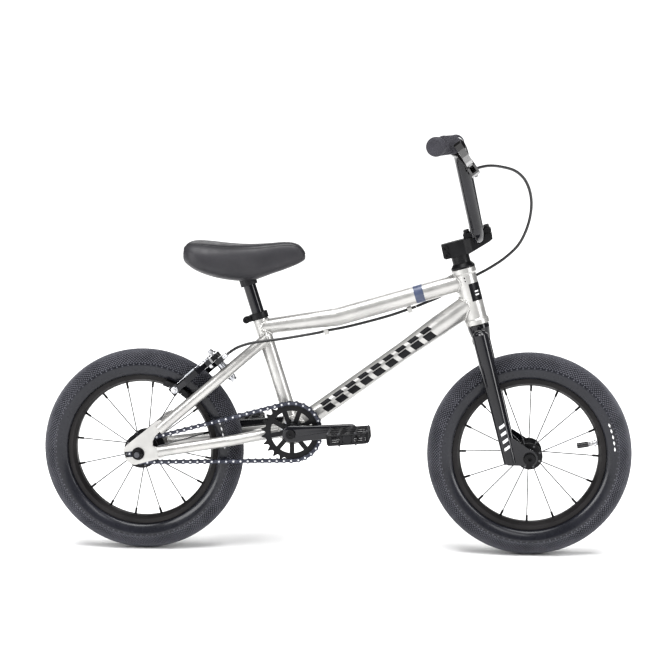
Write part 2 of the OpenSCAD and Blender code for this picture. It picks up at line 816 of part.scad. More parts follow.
// Pad, curved to the rim, with its stud and nut
module brake_pad(side, pad_z) {
    face = rim_half + pad_gap;
    hub_x = (rear_x - caliper_x) * cos(stay_slope) - (caliper_z - wheel_r) * sin(stay_slope);
    hub_z = (caliper_x - rear_x) * sin(stay_slope) - (caliper_z - wheel_r) * cos(stay_slope);
    lean = atan2(pad_lift - hub_z, -pad_reach - hub_x);
    translate([hub_x, side > 0 ? face + 10 : -face, hub_z + pad_z - pad_lift]) rotate([90, 0, 0])
        linear_extrude(10) difference() {
            circle(rim_r - 1, $fn = 128);
            circle(rim_r - 11, $fn = 128);
            rotate(lean) translate([-200, -200]) square([300, 400]);
            rotate(lean) translate([0, 24]) square(200);
            rotate(lean) translate([0, -224]) square(200);
            for (y = [-12, 0, 12]) rotate(lean) translate([100, y]) square([24.5, 1]);
        }
    translate([-pad_reach, 0, pad_z]) rotate([90 * -side, 0, 0]) {
        translate([0, 0, face + 9.5]) cylinder(r = 3, h = 29);
        translate([0, 0, face + 28.8]) difference() {
            union() {
                cylinder(r = 6.2, h = 1.6);
                hex(10, 6.5);
            }
            translate([0, 0, -1]) cylinder(r = 3 + fit, h = 9);
        }
    }
}

// The right arm holds the cable's anchor bolt
module brake_arm_right() {
    base = 28.6;
    color("#222224") caliper_frame() translate([0, 0, base]) {
        difference() {
            caliper_arm(-1, pad_lift - base, [[4, -8], [-13, -40], [-12, -50], [-2, -50], [0, -40], [11, -4]]);
            translate([-7, -44, -1]) cylinder(r = 3.1, h = 12);
        }
        brake_pad(-1, pad_lift - base);
        translate([-7, -44, 0]) {
            translate([0, 0, -6]) cylinder(r = 3, h = 18);
            translate([0, 0, 9.6]) cylinder(r = 5.5, h = 4);
            translate([0, 0, -5.5]) hex(9, 5.4);
        }
    }
}

// The left arm reaches over to the right and holds the barrel where the cable housing ends
module brake_arm_left() {
    base = 18.6;
    color("#222224") caliper_frame() translate([0, 0, base]) {
        difference() {
            caliper_arm(1, pad_lift - base, [[-4, 4], [11, 4], [17, -34], [18, -50], [7, -50], [5, -36], [0, -10]]);
            translate([12, -43, 4.7]) rotate([0, 90, 0]) translate([0, 0, -12]) cylinder(r = 2.2, h = 30);
        }
        brake_pad(1, pad_lift - base);
        translate([18.2, -43, 4.7]) rotate([0, 90, 0]) ring(4, 1.4, 9);
    }
}

module brake_cable_rear() {
    color("#161618") cord(rear_route, 4, cable_r);
}

module brake_cable_front() {
    color("#161618") cord(front_route, 3, cable_r);
}

// ---------------------------------------------------------------- seat

module seat_post() {
    low = 276 - post_len;
    color("#151517") seat_frame() translate([0, 0, low]) difference() {
        cylinder(r = post_d / 2, h = post_len);
        translate([0, 0, -1]) cylinder(r = post_d / 2 - 2, h = post_len - 12);
        translate([0, 0, post_len - 14]) cylinder(r = 4.1, h = 20);
    }
}

module saddle_bolt() {
    color("#8a8c90") seat_frame() translate([0, 0, 283]) difference() {
        union() {
            cylinder(r = 6.5, h = 5);
            translate([0, 0, -18]) cylinder(r = 4, h = 18);
        }
        translate([0, 0, 2]) hex(6, 5);
    }
}

// Rounded cross-sections joined along X: inset shrinks the width, low and high move the underside and top
module saddle_loft(inset, low, high, first, last) {
    ring_count = last - first + 1;
    points = [for (i = [first:last]) let (s = saddle_stations[i]) for (k = [0:saddle_sides - 1])
        let (
            a = 360 * k / saddle_sides,
            half = max(s[1] - inset, 2),
            top = s[2] - high,
            base = s[3] + low,
            mid = base + (top - base) * 0.42,
            up = sin(a) > 0 ? top - mid : mid - base
        )
        [s[0], half * sign(cos(a)) * pow(abs(cos(a)), 0.8), mid + up * sign(sin(a)) * pow(abs(sin(a)), 0.75)]
    ];
    walls = [for (i = [0:ring_count - 2], k = [0:saddle_sides - 1]) [
        i * saddle_sides + k, (i + 1) * saddle_sides + k,
        (i + 1) * saddle_sides + (k + 1) % saddle_sides, i * saddle_sides + (k + 1) % saddle_sides
    ]];
    polyhedron(points, concat(
        [[for (k = [0:saddle_sides - 1]) k]],
        walls,
        [[for (k = [saddle_sides - 1:-1:0]) (ring_count - 1) * saddle_sides + k]]
    ));
}

// The padded cover, hollow underneath where the plastic base sits
module saddle() {
    color("#3a3a3e") difference() {
        saddle_loft(0, 0, 0, 0, len(saddle_stations) - 1);
        saddle_pocket(0);
        seat_frame() translate([0, 0, 240]) cylinder(r = 17.5, h = 50);
    }
}

module saddle_pocket(gap) {
    translate([0, 0, -gap]) linear_extrude(512) translate([0, 0]) polygon([
        [-246 + gap, -40 + gap], [-246 + gap, 40 - gap], [-232, 47 - gap], [-205, 46 - gap], [-150, 24 - gap],
        [-100 - gap, 13 - gap], [-100 - gap, gap - 13], [-150, gap - 24], [-205, gap - 46], [-232, gap - 47]
    ]);
}

module saddle_base() {
    color("#1a1a1c") difference() {
        union() {
            intersection() {
                saddle_pocket(0.3);
                saddle_loft(4, 3, 0, 1, len(saddle_stations) - 3);
            }
            seat_frame() translate([0, 0, 265]) cylinder(r = 15, h = 24);
        }
        seat_frame() translate([0, 0, 200]) cylinder(r = post_d / 2 + fit, h = 76.05);
        seat_frame() translate([0, 0, 270]) cylinder(r = 4.1, h = 30);
        seat_frame() translate([0, 0, 282.95]) cylinder(r = 7, h = 30);
    }
}

// ---------------------------------------------------------------- steering

module fork_steerer() {
    color("#18181a") steer_frame() difference() {
        union() {
            translate([0, 0, -24]) cylinder(r = steerer_r, h = stem_top - 5 + 24);
            translate([0, 0, -26]) cylinder(r1 = 16, r2 = 19, h = 18);
            translate([0, 0, -8]) cylinder(r = 19, h = 6);
            translate([0, 0, -2.5]) cylinder(r = 14.5, h = 2.5);
            translate([0, 0, -0.5]) cylinder(r = 13.5, h = 7);
            translate([0, 46, -25]) rotate([90, 0, 0]) cylinder(r = 14, h = 92);
        }
        translate([0, 0, -60]) cylinder(r = 9.7, h = 250);
        for (side = [-1, 1]) leg_solid(side);
    }
}

leg_top_r = 14.2;
leg_foot_r = 12.4;
leg_y = 46;

module leg_solid(side) {
    a = [-4, side * leg_y, -262];
    b = [0, side * leg_y, -12];
    aim(a, b) cylinder(r1 = leg_foot_r + 0.1, r2 = leg_top_r + 0.1, h = norm(b - a) + 1);
}

module fork_leg(side) {
    a = [-4, side * leg_y, -262];
    b = [0, side * leg_y, -12];
    h = norm(b - a);
    color("#18181a") difference() {
        steer_frame() aim(a, b) rotate_extrude() polygon([
            [0, 18], [leg_foot_r, 18], [leg_top_r, h - 3], [leg_top_r - 3, h], [0, h], [0, h - 3],
            [leg_top_r - 3.4, h - 5], [leg_foot_r - 2, 34], [0, 34]
        ]);
        translate([head_x, -100, wheel_r - 60]) cube([200, 200, 47.5]);
        front_dropout_pair();
        steer_frame() translate([0, side * (leg_y - 8), -60]) rotate([90 * side, 0, 0]) cylinder(r = 1.5, h = 12);
    }
}

module fork_leg_right() {
    fork_leg(-1);
}

module fork_leg_left() {
    fork_leg(1);
}

module front_dropout_pair() {
    for (y = [-front_lock, front_lock + plate_t]) translate([front_x, y, wheel_r]) rotate([90, 0, 0])
        linear_extrude(plate_t) difference() {
            union() {
                polygon([
                    [-38, -12.4], [-8, -12.4], [0, -13.8], [9, 11], [4, 13.4], [-14, 25], [-28, 34],
                    [-46, 40], [-52, 36], [-40, -2]
                ]);
                circle(14);
            }
            circle(axle_d / 2 + 0.1);
            translate([-axle_d / 2 - 0.1, -30]) square([axle_d + 0.2, 30]);
        }
}

module fork_dropouts() {
    color("#18181a") front_dropout_pair();
}

module headset_spacers() {
    color("#18181a") steer_frame() {
        rotate_extrude() polygon([
            [steerer_r + fit, head_tube_len + 0.3], [head_end_r, head_tube_len + 0.3],
            [head_end_r, head_tube_len + 3.5], [16.5, head_tube_len + 9.5], [steerer_r + fit, head_tube_len + 9.5]
        ]);
        rotate_extrude() polygon([
            [steerer_r + fit, head_tube_len - 6], [13.5, head_tube_len - 6],
            [13.5, head_tube_len + 0.2], [steerer_r + fit, head_tube_len + 0.2]
        ]);
        for (z = [head_tube_len + 9.6, head_tube_len + 16.3]) translate([0, 0, z])
            ring(15.6, steerer_r + fit, 6.6);
    }
}

module stem() {
    color("#18181a") steer_frame() difference() {
        intersection() {
            translate([0, 30, 0]) rotate([90, 0, 0]) linear_extrude(60) polygon([
                [-28, stem_low + 3], [-27, stem_top], [61, stem_top], [63, stem_top - 2.5],
                [62, stem_top - 11.5], [55, stem_top - 15], [17, stem_low], [-25, stem_low]
            ]);
            translate([0, 0, 100]) linear_extrude(60) polygon([
                [-28, -13], [-20, -15], [0, -17.5], [12, -18], [24, -24], [60, -24], [63.5, -20],
                [63.5, 20], [60, 24], [24, 24], [12, 18], [0, 17.5], [-20, 15], [-28, 13]
            ]);
        }
        translate([0, 0, 100]) cylinder(r = steerer_r + fit, h = 60);
        translate([bar_x, 40, bar_z]) rotate([90, 0, 0]) cylinder(r = bar_r + fit, h = 80);
        translate([-40, -1, 100]) cube([30, 2, 60]);
        for (z = [stem_low + 6.5, stem_low + 18.5]) translate([-21, 40, z]) rotate([90, 0, 0])
            cylinder(r = 2.6, h = 80);
        for (x = [-17.8, 17.8], y = [-16, 16]) translate([bar_x + x, y, 100]) cylinder(r = 3.1, h = 80);
        translate([0, 0, stem_top - 3]) cylinder(r = 14.6, h = 20);
    }
}

// Cap over the bar, a plate with a raised middle
module stem_cap() {
    color("#18181a") steer_frame() difference() {
        translate([0, 24, 0]) rotate([90, 0, 0]) linear_extrude(48) polygon([
            [bar_x - 24.5, stem_top + 1], [bar_x - 24.5, stem_top + 8], [bar_x - 13, stem_top + 9],
            [bar_x - 8, stem_top + 12.5], [bar_x + 8, stem_top + 12.5], [bar_x + 13, stem_top + 9],
            [bar_x + 24.5, stem_top + 8], [bar_x + 24.5, stem_top + 1]
        ]);
        translate([bar_x, 40, bar_z]) rotate([90, 0, 0]) cylinder(r = bar_r + fit, h = 80);
        for (x = [-17.8, 17.8], y = [-16, 16]) translate([bar_x + x, y, 100]) cylinder(r = 3.1, h = 80);
        for (x = [-17.8, 17.8], y = [-16, 16]) translate([bar_x + x, y, stem_top + 8]) cylinder(r = 5, h = 20);
    }
}

// Four screws over the bar, two across the steerer clamp and the cap screw of the steerer
module stem_bolts() {
    color("#2c2c2f") steer_frame() {
        for (x = [-17.8, 17.8], y = [-16, 16]) translate([bar_x + x, y, stem_top + 8.1]) cap_screw(9.6, 6, 6, 21);
        for (z = [stem_low + 6.5, stem_low + 18.5]) translate([-21, -16.2, z]) rotate([90, 0, 0])
            cap_screw(8, 3.6, 5, 27);
        translate([0, 0, stem_top - 2.9]) difference() {
            union() {
                cylinder(r = 14.2, h = 2.6);
                translate([0, 0, -12]) cylinder(r = 9.6, h = 10);
            }
            translate([0, 0, 0.8]) hex(6, 6);
        }
    }
}

module handlebar() {
    cross_a = bar_path[3] + 0.62 * (bar_path[2] - bar_path[3]);
    cross_b = [cross_a[0], -cross_a[1], cross_a[2]];
    color("#18181a") steer_frame() difference() {
        union() {
            bent_rod(bar_path, 44, bar_r, 0);
            rod(cross_a, cross_b, 8);
        }
        bent_rod(bar_path, 44, bar_r - 2, 1);
        difference() {
            rod(cross_a, cross_b, 6.6);
            rod(bar_path[3], bar_path[2], bar_r - 0.7);
            rod(bar_path[4], bar_path[5], bar_r - 0.7);
        }
        rod(cross_a, cross_b, 2.5);
    }
}

module grip() {
    rotate_extrude() polygon([
        [bar_r + fit, 0], [14.6, 0], [16, 1.6], [16.4, 5], [15.7, 14], [15.3, 30], [15.3, 80], [15.8, 100],
        [16, 108], [15.2, 113.5], [12.5, grip_len - 0.8], [8, grip_len + 0.8], [0, grip_len + 1],
        [0, grip_len - 4], [bar_r + fit, grip_len - 4]
    ]);
}

module grip_right() {
    a = bar_path[0] + (grip_len - 4.1) * unit(bar_path[1] - bar_path[0]);
    color("#4b4b50") steer_frame() aim(a, bar_path[0]) grip();
}

module grip_left() {
    a = bar_path[7] + (grip_len - 4.1) * unit(bar_path[6] - bar_path[7]);
    color("#4b4b50") steer_frame() aim(a, bar_path[7]) grip();
}

// Clamp and body that carry the lever, with the lever's pin and the cable barrel
module lever_bracket() {
    color("#1c1c1e") lever_frame() {
        difference() {
            union() {
                translate([-6, 0, 0]) rotate([0, 90, 0]) cylinder(r = 15, h = 12);
                translate([-6, -19, -5]) cube([12, 10, 10]);
                translate([0, 0, -8]) linear_extrude(16) polygon([
                    [-6, 12], [6, 12], [5, 26], [-3, 40], [-30, 44], [-44, 42], [-44, 30], [-24, 25], [-8, 20]
                ]);
            }
            translate([-10, 0, 0]) rotate([0, 90, 0]) cylinder(r = bar_r + fit, h = 20);
            translate([-10, -25, -0.8]) cube([20, 20, 1.6]);
            translate([lever_pivot[0], lever_pivot[1], -4]) linear_extrude(8) polygon([
                [-10, -4], [-3, -9.5], [30, -9.5], [30, 30], [-10, 30]
            ]);
            translate([lever_pivot[0], lever_pivot[1], -10]) cylinder(r = 2.6, h = 20);
            translate([0, -14.5, -10]) cylinder(r = 2.6, h = 20);
            translate([-60, 36, 0]) rotate([0, 90, 0]) cylinder(r = 1.4, h = 40);
        }
        translate([lever_pivot[0], lever_pivot[1], -8.2]) cylinder(r = 2.5, h = 16.4);
        translate([0, -14.5, 5]) cap_screw(7, 4, 5, 10);
        translate([-55, 36, 0]) rotate([0, 90, 0]) ring(4, cable_r + 0.1, 10.9);
    }
}

module brake_lever() {
    color("#2a2a2d") lever_frame() difference() {
        union() {
            translate([0, 0, -3.6]) linear_extrude(7.2) polygon([
                [-20, 31], [-18, 27], [-10, 26], [6, 33], [30, 38], [34, 45], [8, 43], [-6, 40], [-18, 38]
            ]);
            translate([0, 0, -6]) linear_extrude(12) polygon([
                [12, 35.5], [40, 40.5], [70, 42.5], [92, 41], [104, 36], [108, 37], [109, 41], [98, 47], [72, 49.5],
                [40, 47.5], [14, 43]
            ]);
        }
        translate([lever_pivot[0], lever_pivot[1], -10]) cylinder(r = 2.5 + running, h = 20);
    }
}

module front_axle() {
    color("#9a9ca0") front_frame() difference() {
        union() {
            translate([0, 0, -front_lock - plate_t]) cylinder(d = axle_d, h = 2 * (front_lock + plate_t));
            for (side = [0, 180]) rotate([side, 0, 0]) translate([0, 0, 38.6]) cylinder(r = 9, h = 11.3);
        }
        for (side = [0, 180]) rotate([side, 0, 0]) translate([0, 0, 33]) cylinder(r = 3 + fit, h = 40);
    }
}

// Bolts that hold the front axle from both ends, with their washers
module front_axle_bolts() {
    color("#2a2a2c") front_frame() for (side = [0, 180]) rotate([side, 0, 0])
        translate([0, 0, front_lock + plate_t + 0.05]) {
            ring(11, 3 + fit, 2);
            translate([0, 0, 2.02]) cap_screw(18, 7, 6, 22);
        }
}

// ---------------------------------------------------------------- wheels

module rim(phase, valve_angle) {
    difference() {
        rotate_extrude($fn = 128) polygon([
            [rim_bed_r, -6], [rim_bed_r, 6], [rim_bed_r + 5, rim_half], [rim_r, rim_half],
            [rim_r, bead_half + 1.2], [rim_r - 1.6, bead_half], [127.3, bead_half], [126.6, 8],
            [rim_bed_r + 2.4, 5], [rim_bed_r + 2.4, -5], [126.6, -8], [127.3, -bead_half],
            [rim_r - 1.6, -bead_half], [rim_r, -bead_half - 1.2], [rim_r, -rim_half],
            [rim_bed_r + 5, -rim_half]
        ]);
        for (i = [0:spokes - 1]) rotate(phase + i * spoke_step) translate([rim_bed_r - 5, 0, 0])
            rotate([0, 90, 0]) cylinder(r = nipple_d / 2 + 0.6, h = 12);
        rotate(valve_angle) translate([rim_bed_r - 5, 0, 0]) rotate([0, 90, 0]) cylinder(r = 4.2, h = 12);
    }
}

module tyre() {
    rotate_extrude($fn = 128) difference() {
        translate([tyre_mid_r, 0]) circle(tyre_r);
        difference() {
            translate([tyre_mid_r, 0]) circle(tyre_r - tyre_wall);
            translate([100, -40]) square([39, 80]);
        }
        polygon([
            [100, -8.8], [130, -8.8], [134.5, -10.5], [139.01, -18.5], [139.01, 18.5], [134.5, 10.5],
            [130, 8.8], [100, 8.8]
        ]);
        translate([100, -40]) square([27.6, 80]);
        for (side = [-1, 1]) translate([100, side > 0 ? bead_half - 0.2 : -40])
            square([rim_r - 99.6, 40 - bead_half + 0.2]);
    }
}

// The inner tube with its rubber valve stem, clamp ring and cap
module inner_tube(valve_angle) {
    tube_r = 20.3;
    tube_mid_r = tyre_mid_r + 1;
    rotate_extrude($fn = 96) translate([tube_mid_r, 0]) difference() {
        circle(tube_r);
        circle(tube_r - 1.4);
    }
    rotate(valve_angle) {
        difference() {
            translate([85, 0, 0]) rotate([0, 90, 0]) cylinder(r = 3.9, h = tube_mid_r - 85);
            rotate_extrude($fn = 96) translate([tube_mid_r, 0]) circle(tube_r - 0.7);
        }
        translate([rim_bed_r - 6.1, 0, 0]) rotate([0, 90, 0]) ring(6.5, 3.9 + fit, 3.4);
        translate([84.5, 0, 0]) rotate([0, 90, 0]) difference() {
            cylinder(r = 4.9, h = 20);
            translate([0, 0, 0.5 - 0.05]) cylinder(r = 3.9 + fit, h = 21);
        }
    }
}

// Straight spokes to alternate flanges, each with its bent end, head and nipple
module spoke_set(phase, hole_r, flange_right, flange_left, flange_t) {
    for (i = [0:spokes - 1]) rotate(phase + i * spoke_step) {
        side = i % 2 == 0 ? 1 : -1;
        flange = side > 0 ? flange_right : flange_left;
        inner = flange - flange_t / 2 - spoke_d / 2 - 0.3;
        a = [hole_r, 0, side * inner];
        way = unit([rim_bed_r + 1.2, 0, 0] - a);
        nipple_at = a + (nipple_in_r - hole_r) / way[0] * way;
        color("#8d8f94") {
            rod(a, nipple_at + 8 * way, spoke_d / 2, $fn = 16);
            translate(a) sphere(spoke_d / 2 + 0.05, $fn = 16);
            translate([hole_r, 0, side * inner]) rotate([side > 0 ? 0 : 180, 0, 0]) {
                cylinder(r = spoke_d / 2, h = flange_t + 1.6, $fn = 16);
                translate([0, 0, flange_t + 1.5]) cylinder(r = 1.9, h = 0.9, $fn = 16);
            }
        }
        color("#1b1b1d") difference() {
            union() {
                rod(nipple_at, nipple_at + 14.1 * way, nipple_d / 2, $fn = 16);
                rod(nipple_at + 14 * way, nipple_at + 15.6 * way, 2.9, $fn = 16);
            }
            rod(nipple_at - way, nipple_at + 9 * way, spoke_d / 2 + 0.06, $fn = 16);
        }
    }
}

module hub(flange_r, hole_r, flange_right, flange_left, flange_t, shell_r, end_right, end_left, phase) {
    difference() {
        rotate_extrude() polygon([
            [bearing_od / 2 + fit, -end_left], [shell_r - 2, -end_left], [shell_r - 2, -flange_left - flange_t / 2],
            [flange_r, -flange_left - flange_t / 2], [flange_r, -flange_left + flange_t / 2],
            [shell_r + 3, -flange_left + flange_t / 2], [shell_r, -flange_left + 8],
            [shell_r, flange_right - 8], [shell_r + 3, flange_right - flange_t / 2],
            [flange_r, flange_right - flange_t / 2], [flange_r, flange_right + flange_t / 2],
            [shell_r - 2, flange_right + flange_t / 2], [shell_r - 2, end_right],
            [bearing_od / 2 + fit, end_right], [bearing_od / 2 + fit, end_right - bearing_w],
            [9.6, end_right - bearing_w], [9.6, bearing_w - end_left], [bearing_od / 2 + fit, bearing_w - end_left]
        ]);
        for (i = [0:spokes - 1]) rotate(phase + i * spoke_step) translate([hole_r, 0, i % 2 == 0 ? 10 : -60])
            cylinder(r = spoke_d / 2 + 0.25, h = 50, $fn = 16);
    }
}

rear_right = 27;
rear_left = 29;
front_flange = 30;

module front_rim() {
    color("#232326") front_frame() rim(front_spoke_phase, front_valve_angle);
}

module front_tyre() {
    color("#3c3d42") front_frame() tyre();
}

module front_tube() {
    color("#19191b") front_frame() inner_tube(front_valve_angle);
}

module front_spokes() {
    front_frame() spoke_set(front_spoke_phase, 19, front_flange, front_flange, 3);
}

module front_hub() {
    color("#1b1b1e") front_frame()
        hub(23, 19, front_flange, front_flange, 3, 16, 38, 38, front_spoke_phase);
}

module front_bearings() {
    color("#8a8c90") front_frame() for (z = [-38, 38 - bearing_w]) translate([0, 0, z])
        ring(bearing_od / 2, axle_d / 2 + running, bearing_w);
}

module rear_rim() {
    color("#232326") rear_frame() rim(rear_spoke_phase, rear_valve_angle);
}

module rear_tyre() {
    color("#3c3d42") rear_frame() tyre();
}

module rear_tube() {
    color("#19191b") rear_frame() inner_tube(rear_valve_angle);
}

module rear_spokes() {
    rear_frame() spoke_set(rear_spoke_phase, 27, rear_right, rear_left, 3);
}

module rear_hub() {
    color("#1b1b1e") rear_frame() hub(31, 27, rear_right, rear_left, 3, 17, 32.5, 35, rear_spoke_phase);
}

module rear_bearings() {
    color("#8a8c90") rear_frame() for (z = [-35, 32.5 - bearing_w]) translate([0, 0, z])
        ring(bearing_od / 2, axle_d / 2 + running, bearing_w);
}

// ---------------------------------------------------------------- node selection

head_tube();
top_tube();
down_tube();
seat_tube();
bb_shell();
chainstays();
seatstays();
dropouts();
stay_bridges();
cable_guides();
seat_clamp();
seat_clamp_bolt();
frame_bearings();
rear_axle();
rear_axle_nuts();
chain();
brake_pivot();
brake_cable_rear();
seat_post();
saddle_base();
saddle();
saddle_bolt();
fork_steerer();
fork_leg_right();
fork_leg_left();
fork_dropouts();
headset_spacers();
stem();
stem_cap();
stem_bolts();
handlebar();
grip_right();
grip_left();
lever_bracket();
front_axle();
front_axle_bolts();
brake_cable_front();
brake_lever();
front_rim();
front_tyre();
front_tube();
front_spokes();
front_hub();
front_bearings();
rear_rim();
rear_tyre();
rear_tube();
rear_spokes();
rear_hub();
rear_bearings();
driver();
sprocket();
crank_spindle();
crank_arm_right();
crank_arm_left();
pedal_axles();
pedal_right();
pedal_left();
brake_arm_right();
brake_arm_left();
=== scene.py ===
"""Looks of a small-wheeled freestyle bicycle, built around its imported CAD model.

Metres throughout. +X points forward, +Y to the rider's left and +Z up.
"""

import logging
import math
from dataclasses import dataclass, field
from enum import Enum
from typing import Callable, Iterable, Sequence

import bmesh
import bpy
from mathutils import Matrix, Quaternion, Vector


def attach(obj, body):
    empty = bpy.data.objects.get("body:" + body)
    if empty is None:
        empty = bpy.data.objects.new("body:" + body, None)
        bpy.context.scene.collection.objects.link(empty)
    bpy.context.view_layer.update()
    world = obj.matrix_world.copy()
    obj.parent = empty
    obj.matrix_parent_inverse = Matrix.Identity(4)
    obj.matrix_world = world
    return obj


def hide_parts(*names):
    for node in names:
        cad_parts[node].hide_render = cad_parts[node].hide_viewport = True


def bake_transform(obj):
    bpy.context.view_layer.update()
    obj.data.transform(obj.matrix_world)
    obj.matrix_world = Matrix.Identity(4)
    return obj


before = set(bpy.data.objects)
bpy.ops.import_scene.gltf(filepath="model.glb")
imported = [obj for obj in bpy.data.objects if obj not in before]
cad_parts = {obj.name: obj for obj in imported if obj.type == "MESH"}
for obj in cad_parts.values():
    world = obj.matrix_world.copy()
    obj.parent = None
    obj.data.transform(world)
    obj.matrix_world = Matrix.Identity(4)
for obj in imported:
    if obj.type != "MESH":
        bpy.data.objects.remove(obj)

LOG = logging.getLogger("bicycle")
MM = 0.001
MERGE = 0.000002
Rings = list[list[Vector]]
Colour = tuple[float, float, float]


# ---------------------------------------------------------------- places on the bicycle


@dataclass(frozen=True)
class Layout:
    """Points and angles that the CAD model fixes, in millimetres and degrees."""

    wheelbase: float = 681.0
    wheel_r: float = 178.5
    bb: tuple[float, float, float] = (-72.22, 0.0, 217.5)
    seat_lean: float = 17.3
    head: tuple[float, float, float] = (249.009, 0.0, 405.971)
    head_lean: float = 15.0
    caliper: tuple[float, float, float] = (-191.0, 0.0, 317.2)
    stay_slope: float = 40.4
    crank_len: float = 105.0
    crank_angle: float = 4.0

    @property
    def rear_axle(self) -> Vector:
        """Middle of the rear axle, in metres."""
        return Vector((-self.wheelbase / 2, 0, self.wheel_r)) * MM

    @property
    def front_axle(self) -> Vector:
        """Middle of the front axle, in metres."""
        return Vector((self.wheelbase / 2, 0, self.wheel_r)) * MM

    def placed(self, origin: Sequence[float], lean: float) -> Matrix:
        """Frame at a point, turned about Y so that its Z leans back.

        Args:
            origin: the frame's origin, in millimetres.
            lean: degrees that local Z leans towards -X.

        Returns:
            Matrix from local millimetres to metres.
        """
        turn = Matrix.Rotation(-math.radians(lean), 4, "Y")
        return Matrix.Translation(Vector(origin) * MM) @ turn @ Matrix.Scale(MM, 4)

    @property
    def steering(self) -> Matrix:
        """Steering frame: Z up the steering axis from the foot of the head tube."""
        return self.placed(self.head, self.head_lean)

    @property
    def seat(self) -> Matrix:
        """Seat frame: Z up the seat tube from the bottom bracket."""
        return self.placed(self.bb, self.seat_lean)

    @property
    def brake(self) -> Matrix:
        """Caliper frame: X up along the seat stays and Z away from them."""
        return self.placed(self.caliper, self.stay_slope)


LAYOUT = Layout()
BAR_END = Vector((14.0, 300.0, 316.3))
BAR_BEND = Vector((42.4, 176.0, 311.4))
LEG_OUT = 46.0
LEG_TOP = Vector((0.0, LEG_OUT, -12.0))
LEG_FOOT = Vector((-4.0, LEG_OUT, -262.0))


def on_side(spot: Vector, side: int) -> Vector:
    """A point of the left side, or its mirror for the right, where side is -1."""
    return Vector((spot.x, side * spot.y, spot.z))


# ---------------------------------------------------------------- finishes


COLOUR_BAND = (0.36, 0.64)
GLOSS_BAND = (0.35, 0.65)
GLOSS_FINER = 3.1
BRUSH_STRETCH = 0.08
EDGE_SAMPLES = 4


class Grain(Enum):
    """The kind of relief that a finish has."""

    FLAKE = "flake"
    PEBBLE = "pebble"
    MOULDED = "moulded"
    BRUSHED = "brushed"


